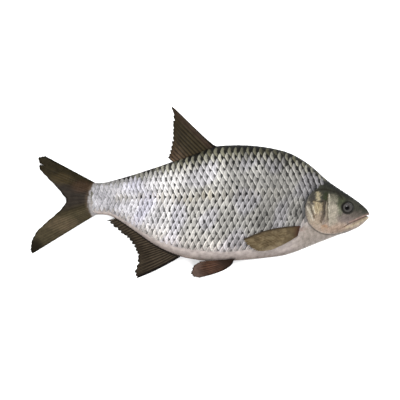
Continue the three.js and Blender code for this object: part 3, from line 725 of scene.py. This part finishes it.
# how silvery the flank is along the body
SILVER = smooth([
    [0, 1.06], [40, 1.1], [72, 1.55], [94, 1.58], [112, 1.24], [132, 1.28], [152, 0.92], [172, 0.9],
    [190, 1.04], [245, 1.03],
])
ROWS = range(-15, 15)  # rows of scales, counted from the lateral line
ROW_LEAN = 0.1  # how far a row is set back, for its distance from the lateral line
PLATE_GRID = (9, 6)  # points of a scale across and along the fish
SCALE_SLOPE = 0.085  # how steeply a scale rises towards its free edge
SCALE_DOME = 0.3
SCALE_TUCK = 0.66  # how far a scale runs under the ones in front, in column pitches
SCALE_SINK = 0.55
RIDGE_BEND = 1.2  # how close to the back's ridge a scale begins to bend round


def arc_tables():
    """For stations along the body: the angle at each distance along the skin from the lateral
    line, and that distance at the keel and at the ridge."""
    stations = np.linspace(0, LENGTH, 290)
    angles = np.linspace(-math.pi / 2, math.pi / 2, 241)
    reach = np.arange(-76, 76.1, 0.5)
    x, angle = np.meshgrid(stations, angles, indexing="ij")
    p = flank(x, angle, 1.0)
    p[..., 2] -= middle_plane(x)
    steps = np.linalg.norm(np.diff(p[..., 1:], axis=1), axis=-1)
    arc = np.concatenate([np.zeros((len(stations), 1)), np.cumsum(steps, axis=1)], axis=1)
    table = np.zeros((len(stations), len(reach)))
    low, high = np.zeros(len(stations)), np.zeros(len(stations))
    for i, station in enumerate(stations):
        start = np.interp(LATERAL_LINE(station), p[i, :, 1], arc[i])
        table[i] = np.interp(reach, arc[i] - start, angles)
        low[i], high[i] = -start, arc[i, -1] - start
    return stations, reach, table, low, high


ARC_STATIONS, ARC_REACH, ARC_TABLE, ARC_LOW, ARC_HIGH = arc_tables()


def angle_at(x, s):
    """The angle at x, at the distance s along the skin from the lateral line."""
    i = np.clip(x / LENGTH * (len(ARC_STATIONS) - 1), 0, len(ARC_STATIONS) - 1.001)
    k = np.clip((s - ARC_REACH[0]) / (ARC_REACH[1] - ARC_REACH[0]), 0, len(ARC_REACH) - 1.001)
    i0, k0 = i.astype(int), k.astype(int)
    past_i, past_k = i - i0, k - k0
    here = ARC_TABLE[i0, k0] * (1 - past_k) + ARC_TABLE[i0, k0 + 1] * past_k
    beyond = ARC_TABLE[i0 + 1, k0] * (1 - past_k) + ARC_TABLE[i0 + 1, k0 + 1] * past_k
    return here * (1 - past_i) + beyond * past_i


def ridge_at(x):
    return np.interp(x, ARC_STATIONS, ARC_HIGH)


def keel_at(x):
    return np.interp(x, ARC_STATIONS, ARC_LOW)


def cover(x, s):
    """1 where scales stand full, falling to 0 towards the bare belly."""
    bare = BARE_BELLY(x)
    return step(bare * 0.75, bare * 1.3 + 3, s - keel_at(x))


def scale_centres():
    """Stations, distances from the lateral line and row numbers of one flank's scales."""
    xs = np.linspace(0, 250, 2501)
    count = np.concatenate([[0], np.cumsum(np.diff(xs) / COLUMN_PITCH(xs[:-1]))])
    half_columns = np.interp(np.arange(0, count[-1], 0.5), count, xs)
    centres = []
    for row in ROWS:
        for x in half_columns[row % 2 :: 2]:
            s = row * ROW_PITCH(x)
            lean = 0.16 * step(185, 225, x) * s * (1 if s > 0 else 0.4)
            x = x - ROW_LEAN * abs(s) + lean
            if x < 1.5 + 1.6 * rng.random() or x > 250:
                continue
            s = row * float(ROW_PITCH(x))
            if s > ridge_at(x) + 1.0:
                continue
            place = flank(np.array(x), angle_at(np.array(x), np.array(s)), 1.0)
            if into_head(place[0], place[1]) > 2.6 or cover(x, s + 4) < 0.03:
                continue
            centres.append((x, s, row))
    return (np.array(values) for values in zip(*centres))


def plate():
    """One scale as a closed plate: the ring of points round its top, and faces with their corners'
    places in a square of the bake map, for the top, the skirt round it and the underside."""
    nv, nu = PLATE_GRID
    grid = np.arange(nv * nu).reshape(nv, nu)
    ring = np.concatenate([grid[:, 0], grid[-1, 1:-1], grid[::-1, -1], grid[0, -2:0:-1]])
    low = nv * nu + np.arange(len(ring))
    quads, _, _ = grid_faces(nv, nu)
    skirt = np.stack([ring, low, np.roll(low, -1), np.roll(ring, -1)], axis=-1)
    fan = np.stack([low, np.full(len(ring), nv * nu + len(ring)), np.roll(low, -1)], axis=-1)
    across, along = np.divmod(grid.ravel(), nu)
    top = np.stack([along / (nu - 1) * 0.62 + 0.06, across / (nv - 1) * 0.84 + 0.08], axis=-1)
    inner, middle, aside = top[ring], np.array([0.37, 0.5]), np.array([0.86, 0.5])
    outer = middle + (inner - middle) * [1.13, 1.1]
    small = aside + (inner - middle) * [0.3, 0.9]
    outer_next, inner_next = np.roll(outer, -1, axis=0), np.roll(inner, -1, axis=0)
    skirt_uv = np.stack([inner, outer, outer_next, inner_next], axis=1)
    centre = np.broadcast_to(aside, small.shape)
    fan_uv = np.stack([small, centre, np.roll(small, -1, axis=0)], axis=1)
    return ring, [(quads, top[quads]), (skirt, skirt_uv), (fan, fan_uv)]


def build_scales(name, side, material):
    cx, cs, rows = scale_centres()
    n = len(cx)
    pitch = COLUMN_PITCH(cx)
    nv, nu = PLATE_GRID
    v = np.sin(np.linspace(-1, 1, nv) * math.pi / 2 * 0.9) / math.sin(math.pi / 2 * 0.9)
    u = np.linspace(0, 1, nu) ** 1.15
    free = -0.5 * (1 - np.abs(v) ** EDGE_CURVE)
    along = free[:, None] + (SCALE_TUCK - free[:, None]) * u[None, :]
    across = np.broadcast_to(v[:, None], (nv, nu))
    wobble = rng.normal(0, 1, (n, 6))
    each = lambda values: np.asarray(values)[:, None, None]
    size = 1 + 0.035 * wobble[:, 0]
    x = each(cx + 0.18 * wobble[:, 1]) + along * each(pitch * size)
    s = each(cs + 0.2 * wobble[:, 2]) + across * each(ROW_PITCH(cx) * 1.05 * size)
    x = x - ROW_LEAN * (np.abs(s) - each(np.abs(cs)))
    ridge = ridge_at(x)
    bend_from = ridge - RIDGE_BEND
    bent = ridge - RIDGE_BEND * np.exp(np.minimum(0, -(s - bend_from) / RIDGE_BEND))
    s = np.where(s < bend_from, s, bent)
    rise = SCALE_SLOPE * each(1 + 0.16 * wobble[:, 3]) * (SCALE_TUCK - along) * each(pitch)
    dome = SCALE_DOME * (1 - across**2) * each(1 + 0.3 * wobble[:, 4])
    full = cover(x, s)
    angle = angle_at(x, s)
    place = flank(x, angle, side)
    sunk = recess(x, place[..., 1])
    stands = full * (1 - 0.8 * step(5.0, 0.5, ridge - s)) * (0.45 + 0.55 * step(0, 14, x))
    normal = flank_normal(x, angle, side)
    top = place + normal * ((rise + dome) * stands - 0.35 * (1 - full) - sunk)[..., None]
    under = (place - normal * (SCALE_SINK + 0.2 * sunk)[..., None]).reshape(n, -1, 3)
    ring, template = plate()
    centre = under.mean(axis=1, keepdims=True)
    points = np.concatenate([top.reshape(n, -1, 3), under[:, ring], centre], axis=1)
    per_plate = points.shape[1]
    points = points.reshape(-1, 3)
    if side > 0:
        template = [(faces[:, ::-1], uv[:, ::-1]) for faces, uv in template]
    cells = math.ceil(math.sqrt(n))
    cell = np.stack([np.arange(n) % cells, np.arange(n) // cells], axis=-1) / cells
    parts = []
    for faces, uv in template:
        uv = uv / cells + cell[:, None, None, :]
        faces = faces + each(np.arange(n)) * per_plate
        parts.append((faces.reshape(-1, faces.shape[-1]), uv.reshape(-1, uv.shape[-2], 2)))
    every = lambda values: np.repeat(values, per_plate, axis=0)
    local = np.stack([along, across], axis=-1).reshape(-1, 2)
    local = np.concatenate([local, local[ring], [[0.2, 0.0]]])
    place_at = np.column_stack([np.tile(local, (n, 1)), every(rng.uniform(-1, 1, n))])
    tint, tone, net = scale_colours(points, every(cs), every(rows), every(wobble[:, 5]))
    attributes = {"tint": tint, "place": place_at, "tone": tone, "net": net}
    return mesh_piece(name, points, parts, attributes, material, sharp=35)


def scale_colours(points, s, row, wobble):
    """The scales' tint; the strength of their dark spot, pigment with painted shade, and of their
    painted edge highlight and painted sheen; and how dark the net of painted shadow lines between them
    is."""
    x, y = points[:, 0], points[:, 1]
    up, down = np.clip(s / ridge_at(x), 0, 1), np.clip(s / keel_at(x), 0, 1)
    olive = up - 0.13 * step(125, 60, x)
    yellowed = np.exp(-((row / 1.1) ** 2)) * step(-0.6, 0.6, ripple(x, y, 18, 6))
    pored = (row == 0) * step(8, 40, x) * step(215, 160, x)
    # painted shadow of the gill cover's edge on the scales just behind it
    gill_cover_shadow = step(-4.5, -1.0, into_head(x, y)) * step(26, 12, y)
    tint = layered(
        np.broadcast_to(colour(138, 136, 132), points.shape),
        ((190, 188, 193), 0.9 * step(110, 30, x) * step(1.0, 0.4, up)),
        ((120, 118, 114), 0.85 * step(165, 195, x)),
        ((158, 153, 148), step(0.45, 0.85, down) * step(225, 190, x)),
        ((122, 120, 108), step(0.55, 0.8, olive) * step(10, 60, x)),
        ((80, 78, 62), step(0.76, 0.88, olive)),
        # near black along the ridge: the dark back, with painted shade where the light falls off at
        # its edge
        ((12, 11, 8), step(0.9, 0.96, up)),
        ((118, 111, 90), 0.35 * yellowed * step(150, 120, x) * step(8, 30, x)),
        ((122, 112, 90), 0.16 * pored),
    )
    lilac = step(0.0, 0.8, ripple(x, y, 40, 5)) * step(0.95, 0.6, up)
    tint = blend(tint, tint * [1.0, 1.0, 1.1], lilac)
    tint = layered(tint, ((52, 54, 58), 0.75 * gill_cover_shadow))
    blotch = 0.1 * ripple(x, y, 34, 3) + 0.08 * ripple(x, y, 12, 4)
    uneven = np.maximum(0.4, 1 + 0.16 * wobble * step(-20, 90, x) + blotch)
    full = cover(x, s)
    tint = layered(tint * (SILVER(x) * uneven)[:, None], ((184, 174, 169), 0.85 * (1 - full)))
    strong = 1 + 0.4 * step(80, 110, x) * step(0.25, 0.55, up) - 0.35 * step(165, 190, x)
    # strength of the dark spot, which is pigment with painted shade
    spot = (0.8 - 0.25 * step(0.5, 1, down)) * strong * (0.2 + 0.8 * step(5, 105, x))
    spot = spot * full * (1 + 0.2 * wobble) * (1 + 0.5 * pored)
    # strength of the painted highlight and painted sheen at the free edges, which also sets how strong
    # the painted shadow is
    edge = (0.85 - 0.6 * step(0.72, 0.92, up)) * strong * (0.2 + 0.8 * step(15, 150, x))
    edge = edge * full * (1 - 0.3 * wobble)
    tone = np.column_stack([spot, edge, np.where(s > 0, -1.0, 1.0)])
    # the last value sets how wide and dark the painted shadow lines between the upper rows are
    return tint, tone, step(0.38, 0.78, up) * step(20, 70, x)


# ------------------------------
# Fins
def fan(rows, span, root_at, out, skew=1.0):
    """The place at a share along ray t, below 0 inside the body, as x and y."""
    table = smooth(rows)

    def at(t, along):
        back, outward, bow = np.moveaxis(table(t), -1, 0)
        bowed = np.clip(along, 0, 1.2) ** skew
        rx, ry = root_at(t)
        y = outward * along + bow * 4 * bowed * (1 - bowed)
        return rx - back * span * along, ry + out * y * span

    return at


def median_root(stations, profile, out):
    def at(t):
        station = stations[0] + (stations[1] - stations[0]) * t
        return station * LENGTH, profile(station) * DEPTH + out * ROOT_GAP

    return at


def caudal_root(t):
    top, bottom, _, _, _ = section(np.array(TAIL_ROUNDING))
    x = TAIL_ROUNDING - (TAIL_ROUNDING + ROOT_GAP) * np.sin(math.pi * t)
    return x, (top + bottom) / 2 + ((top - bottom) / 2 + ROOT_GAP) * np.cos(math.pi * t)


def line_root(places):
    (ax, ay), (bx, by) = places

    def at(t):
        return (ax + (bx - ax) * t) * LENGTH, (ay + (by - ay) * t) * DEPTH

    return at


FIN_ALONG = 46  # steps of a fin's mesh from root to margin


def ray_relief(t, along, gap, rays):
    """1 on the rays of a fin, which fork towards the margin, and 0 between them."""
    phase = t * rays - np.round(t * rays)
    fork = 0.24 * step(0.35, 0.95, along)
    near = np.minimum(np.abs(phase - fork), np.abs(phase + fork)) * gap
    width = np.minimum(0.62 - 0.2 * along, 0.34 * gap)
    return np.exp(-((near / width) ** 2))


def build_fin(
    name, at, height_at, thick, rays, tints, material,
    inside=3.0, worn=None, across=None, teeth=None, bite=1.0,
):
    """A fin's plate with raised rays and a notched margin. thick is its thickness at the root and
    at the margin, inside how far it runs into the body, worn how much shorter it is at t."""
    columns = across or rays * 11
    t = np.linspace(0, 1, columns + 1)
    x0, y0 = at(t, np.zeros_like(t))
    x1, y1 = at(t, np.ones_like(t))
    size = np.maximum(np.hypot(x1 - x0, y1 - y0), 1.0)
    tooth = t * (teeth or rays)
    between = np.abs(tooth - np.round(tooth)) * 2
    uneven = 1 + 0.35 * np.sin(2.4 * tooth) + 0.25 * np.sin(5.3 * tooth + 1)
    reach = 1 + (0.9 - 1.3 * between**1.4 * uneven) * bite / size
    reach = reach + 0.25 / size * np.sin(tooth * 2.9 + 1.3)
    if worn is not None:
        reach = reach - worn(t)
    tt, jj = np.meshgrid(t, np.linspace(0, 1, FIN_ALONG + 1), indexing="ij")
    start = -inside / size[:, None]
    along = start + (reach[:, None] - start) * jj
    x, y = at(tt, along)
    gap = np.hypot(np.gradient(x, axis=0), np.gradient(y, axis=0)) * columns / rays
    bump = ray_relief(tt, along, np.maximum(gap, 0.15), rays)
    half = (thick[0] + (thick[1] - thick[0]) * np.clip(along, 0, 1) ** 0.7) / 2
    half = half * (0.72 + 0.28 * bump) + 0.12 * bump * step(1.02, 0.8, along)
    half = half * np.sqrt(np.clip((1.003 - jj) / 0.03, 0.08, 1))
    middle = height_at(x, y, along) + 0.35 * np.sin(tt * 7 + 1.7 * along) * step(0.1, 0.8, along)
    upper = np.stack([x, y, middle + half], axis=-1).reshape(-1, 3)
    lower = np.stack([x, y, middle - half], axis=-1).reshape(-1, 3)
    faces, row, column = grid_faces(columns + 1, FIN_ALONG + 1)
    count = len(upper)
    grid = np.arange(count).reshape(columns + 1, FIN_ALONG + 1)
    lap = np.concatenate([grid[:, 0], grid[-1, 1:], grid[-2::-1, -1], grid[0, -2:0:-1]])
    after = np.roll(lap, -1)
    strip = np.stack([lap, after, after + count, lap + count], axis=-1)
    uv = np.stack([row / columns * 0.96 + 0.02, column / FIN_ALONG * 0.44 + 0.03], axis=-1)
    ends = np.arange(len(lap) + 1) / len(lap) * 0.96 + 0.02
    strip_u = np.stack([ends[:-1], ends[1:], ends[1:], ends[:-1]], axis=-1)
    strip_v = np.broadcast_to([0.975, 0.975, 0.995, 0.995], strip_u.shape)
    strip_uv = np.stack([strip_u, strip_v], axis=-1)
    # Which way round the plate's grid runs, seen from above, says which faces have to turn
    a, b, c = upper[0], upper[grid[columns // 2, 0]], upper[grid[columns // 2, -1]]
    turns = np.cross((b - a)[:2], (c - a)[:2]) > 0
    parts = [(faces, uv), (faces + count, uv + [0, 0.48]), (strip, strip_uv)]
    for i, turned in enumerate((not turns, turns, turns)):
        if turned:
            parts[i] = (parts[i][0][:, ::-1], parts[i][1][:, ::-1])
    tint = tints(tt, along, bump, x, y, (reach[:, None] - along) * size[:, None])
    tint = np.concatenate([tint.reshape(-1, 3)] * 2)
    points = np.concatenate([upper, lower])
    return mesh_piece(name, points, parts, {"tint": tint}, material, sharp=60)


def median_height(x, y, along):
    droop = MEDIAN_FIN_DROOP * np.clip(along, 0, 1) ** 2
    return np.maximum(TAIL_TIP_HEIGHT, middle_plane(x) - droop)


def caudal_height(x, y, along):
    return middle_plane(x)


def pectoral_height(side):
    def at(x, y, along):
        clear = PECTORAL_STAND + PAIRED_FIN_FLARE * along**2
        stand = -PECTORAL_SINK + (clear + PECTORAL_SINK) * step(-0.02, 0.12, along)
        return np.maximum(middle_plane(x) + side * (half_at(x, y) + stand), LOWEST_FIN)

    return at


def pelvic_height(side):
    def at(x, y, along):
        stand = PELVIC_SPREAD + PAIRED_FIN_FLARE * along
        return np.maximum(middle_plane(x) + side * stand, LOWEST_FIN)

    return at


def patch(x, y, centre, size):
    return step(1.3, 0.5, np.hypot((x - centre[0]) / size[0], (y - centre[1]) / size[1]))


def dorsal_tint(t, along, bump, x, y, margin):
    return layered(
        blend(colour(61, 53, 37), colour(18, 15, 10), bump),
        ((104, 84, 68), 0.7 * step(0.5, 0.95, t) * step(0.9, 0.3, bump)),
        ((66, 50, 44), 0.5 * step(0.04, 0.1, t) * step(0.24, 0.14, t)),
        ((16, 14, 11), 0.95 * step(0.11, 0.05, t)),
        ((22, 18, 14), 0.75 * step(2.4, 0.5, margin)),
    )


def anal_tint(t, along, bump, x, y, margin):
    return layered(
        blend(colour(74, 64, 52), colour(20, 16, 12), bump),
        ((16, 13, 11), 0.9 * np.maximum(step(0.07, 0.0, along), step(0.07, 0.02, t))),
        ((22, 18, 15), 0.8 * step(2.2, 0.5, margin)),
    )


def caudal_tint(t, along, bump, x, y, margin):
    tint = blend(colour(51, 44, 28), colour(80, 72, 54), step(0.5, 0.72, t))
    tint = blend(tint, tint * 0.5, 0.8 * bump)
    middle = colour(58, 52, 49) * (1 - 0.3 * bump[..., None])
    edges = np.maximum(step(0.055, 0.02, t), 0.4 * step(0.965, 0.99, t))
    # the silvery skin ends in a curve across the fin's root
    past = x + 1.4 - 3.2 * ((y - 4) / 13) ** 2 + 0.5 * ripple(x, y, 5, 41)
    tint = layered(
        blend(tint, middle, 0.7 * step(0.3, 0.42, t) * step(0.62, 0.52, t)),
        ((78, 58, 44), 0.5 * patch(x, y, (-7, 19), (13, 7))),
        ((114, 98, 78), 0.45 * patch(x, y, (-28, -20), (19, 8)) * (1 - 0.5 * bump)),
        ((92, 78, 52), 0.4 * patch(x, y, (-30, 27), (12, 6)) * (1 - 0.5 * bump)),
        ((24, 21, 14), 0.85 * patch(x, y, (-58, -46), (11, 12))),
        ((22, 18, 13), 0.9 * np.maximum(step(2.6, 0.8, margin), edges)),
        ((112, 96, 80), 0.45 * step(-5.0, -1.0, past)),
    )
    silvery = colour(178, 174, 174) * (1 + 0.16 * ripple(x, y, 2.8, 44))[..., None]
    return blend(tint, silvery, 0.9 * step(-1.5, 0.4, past))


def pectoral_tint(t, along, bump, x, y, margin):
    mottle = step(-0.4, 1.0, ripple(x, y, 7, 42) + 0.5 * ripple(x, y, 2.5, 43))
    return layered(
        blend(colour(122, 107, 82), colour(78, 64, 44), bump),
        ((142, 127, 99), 0.5 * mottle * step(0.1, 0.3, along)),
        ((50, 41, 32), 0.85 * step(0.16, 0.02, t)),
        ((70, 40, 32), 0.85 * step(0.2, 0.0, along)),
        ((158, 142, 118), 0.6 * step(0.6, 1.0, t) * step(0.3, 0.9, along)),
    )


def pelvic_tint(t, along, bump, x, y, margin):
    return layered(
        blend(colour(92, 66, 52), colour(52, 35, 27), bump),
        ((108, 92, 84), 0.6 * step(0.6, 0.95, along)),
        ((34, 25, 20), 0.8 * step(0.4, 0.05, along)),
        ((24, 18, 15), 0.9 * np.maximum(step(0.12, 0.02, t), step(1.8, 0.4, margin))),
    )


def dorsal_tip(t):
    """The dorsal fin's tip is worn: how much shorter the fin is at t."""
    return 0.035 * step(0.13, 0.05, t)


def caudal_tear(t):
    """The tear between two rays of the upper lobe: how much shorter the fin is at t."""
    return 0.11 * np.maximum(0, 1 - np.abs(t - 0.212) / 0.012)


# ------------------------------
# Eyes
EYE_AROUND, EYE_RINGS = 72, 34


def build_eye(name, side, material):
    radius = np.sin(np.linspace(0, 1, EYE_RINGS + 1) ** 0.9 * math.pi / 2)
    turn = np.linspace(0, 2 * math.pi, EYE_AROUND, endpoint=False)
    r, a = np.meshgrid(radius[1:], turn, indexing="ij")
    cx, cy = EYE_PLACE[0] * LENGTH, EYE_PLACE[1] * DEPTH
    stands = half_at(np.array(cx), np.array(cy)) + EYE_BULGE - EYE_HALF_DEPTH
    level = middle_plane(np.array(cx))

    def ball(r, way):
        """Points of the half that looks out (way 1) or into the head (way -1)."""
        swell = EYE_HALF_DEPTH * np.sqrt(np.maximum(0, 1 - r**2)) + 0.2 * step(0.62, 0.3, r)
        x, y = cx + EYE_RADIUS * r * np.cos(a), cy + EYE_RADIUS * r * np.sin(a)
        return np.stack([x, y, level + side * (stands + way * swell)], axis=-1)

    shell = np.concatenate([ball(r, 1.0), ball(r, -1.0)[:-1][::-1]])
    front = level + side * (stands + EYE_HALF_DEPTH + 0.2)
    rear = level + side * (stands - EYE_HALF_DEPTH)
    points = np.concatenate([shell.reshape(-1, 3), [[cx, cy, front], [cx, cy, rear]]])
    rings = len(shell)
    faces, row, column = grid_faces(rings, EYE_AROUND, closed=True)
    uv = np.stack([column / EYE_AROUND, (row + 1) / (rings + 1)], axis=-1)
    caps, cap_uv = pole_caps(rings, EYE_AROUND, (0.0, 1 / (rings + 1), rings / (rings + 1), 1.0))
    parts = [(faces, uv), (caps, cap_uv[..., ::-1])]
    if side < 0:
        parts = [(part[:, ::-1], places[:, ::-1]) for part, places in parts]
    away = np.hypot(points[:, 0] - cx, points[:, 1] - cy) / EYE_RADIUS
    pupil = np.hypot(points[:, 0] - cx + 0.5, points[:, 1] - cy + 0.2) / EYE_RADIUS
    tint = layered(
        np.broadcast_to(colour(76, 74, 72), points.shape),
        ((90, 87, 84), 0.6 * step(0.5, 0.62, away) * step(0.8, 0.7, away)),
        ((52, 50, 48), 0.8 * step(0.5, 0.42, away)),
        ((26, 25, 23), step(0.74, 0.9, away)),
        ((2, 2, 2), step(0.42, 0.34, pupil)),
    )
    return mesh_piece(name, points, parts, {"tint": tint}, material, sharp=80)


# ------------------------------
# The fish
def place_piece(piece, slot, *nodes):
    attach(piece, "root")
    if nodes:
        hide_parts(*nodes)


skin_look, scale_look = skin_material(), scale_material()
fin_look, eye_look = fin_material(), eye_material()
FLANKS = (("right", 1.0), ("left", -1.0))
place_piece(build_skin(skin_look), "skin", "body")
for flank_name, flank_side in FLANKS:
    place_piece(build_scales("scales_" + flank_name, flank_side, scale_look), "skin")
    eyeball = build_eye("eyeball_" + flank_name, flank_side, eye_look)
    place_piece(eyeball, "eye", "eye_" + flank_name)

dorsal = fan(DORSAL_RAYS, DORSAL_SPAN, median_root(DORSAL_ROOT, back_share, 1), 1)
anal = fan(ANAL_RAYS, ANAL_SPAN, median_root(ANAL_ROOT, belly_share, -1), -1)
caudal = fan(CAUDAL_RAYS, CAUDAL_SPAN, caudal_root, 1)
pectoral = fan(PECTORAL_RAYS, PECTORAL_SPAN, line_root(PECTORAL_ROOT), -1)
pelvic = fan(PELVIC_RAYS, PELVIC_SPAN, line_root(PELVIC_ROOT), -1, PELVIC_BOW_SKEW)
piece = build_fin(
    "fin_dorsal", dorsal, median_height, (2.2, 0.5), 13, dorsal_tint, fin_look,
    teeth=13, bite=1.25, worn=dorsal_tip,
)
place_piece(piece, "median_fin", "dorsal_fin")
piece = build_fin(
    "fin_anal", anal, median_height, (2.2, 0.5), 25, anal_tint, fin_look, teeth=17, bite=1.25
)
place_piece(piece, "median_fin", "anal_fin")
piece = build_fin(
    "fin_caudal", caudal, caudal_height, (3.2, 0.55), 24, caudal_tint, fin_look,
    inside=4.0, worn=caudal_tear, across=360, bite=0.7,
)
place_piece(piece, "median_fin", "caudal_fin")
for flank_name, flank_side in FLANKS:
    piece = build_fin(
        "fin_pectoral_" + flank_name, pectoral, pectoral_height(flank_side), (2.0, 0.5), 15,
        pectoral_tint, fin_look,
    )
    place_piece(piece, "paired_fin", "pectoral_fin_" + flank_name)
    piece = build_fin(
        "fin_pelvic_" + flank_name, pelvic, pelvic_height(flank_side), (2.2, 0.5), 9, pelvic_tint,
        fin_look,
    )
    place_piece(piece, "paired_fin", "pelvic_fin_" + flank_name)

# ------------------------------
# Studio: a pale floor, soft light and the camera
scene = bpy.context.scene
bpy.ops.mesh.primitive_plane_add(size=30.0, location=(0, 0, -0.0005))
floor = bpy.context.object
floor.name = "floor"
floor_look = Shader("floor", Specular_IOR_Level=0.1)
grain = floor_look.noise(12, 3)
paper = floor_look.mix(grain, (0.86, 0.86, 0.86), (0.9, 0.9, 0.9))
floor.data.materials.append(floor_look.finish(paper, 0.8, grain, 0.0001, 0.1))

world = bpy.data.worlds.new("studio")
world.use_nodes = True
world.node_tree.nodes["Background"].inputs["Color"].default_value = (1, 1, 1, 1)
world.node_tree.nodes["Background"].inputs["Strength"].default_value = 0.35
scene.world = world


def soft_light(name, azimuth, elevation, distance, size, power, shines):
    lamp = bpy.data.lights.new(name, "AREA")
    lamp.shape = "DISK"
    lamp.size = size
    lamp.energy = power
    piece = bpy.data.objects.new(name, lamp)
    a, e = math.radians(azimuth), math.radians(elevation)
    out = distance * math.cos(e)
    piece.location = (out * math.cos(a), out * math.sin(a), distance * math.sin(e))
    piece.rotation_euler = (math.pi / 2 - e, 0, a + math.pi / 2)
    piece.visible_glossy = shines
    scene.collection.objects.link(piece)


soft_light("key", 105, 60, 1.6, 0.7, 34, True)
soft_light("left", 200, 52, 1.6, 0.9, 20, False)
soft_light("right", 20, 52, 1.6, 0.9, 20, False)
soft_light("low", 285, 50, 1.6, 1.0, 20, False)

CAMERA_HEIGHT = 4.5
PICTURE_WIDTH = 0.4124
MIDDLE_Y = -0.0073
SENSOR = 36
camera = bpy.data.cameras.new("camera")
camera.sensor_width = SENSOR
camera.lens = SENSOR * CAMERA_HEIGHT / PICTURE_WIDTH
camera.clip_end = 60
camera_piece = bpy.data.objects.new("camera", camera)
camera_piece.location = (0, MIDDLE_Y, CAMERA_HEIGHT + TRUNK_HEIGHT * MM)
scene.collection.objects.link(camera_piece)
scene.camera = camera_piece
scene.view_settings.view_transform = "Standard"
scene.view_settings.look = "None"

bpy.context.view_layer.update()
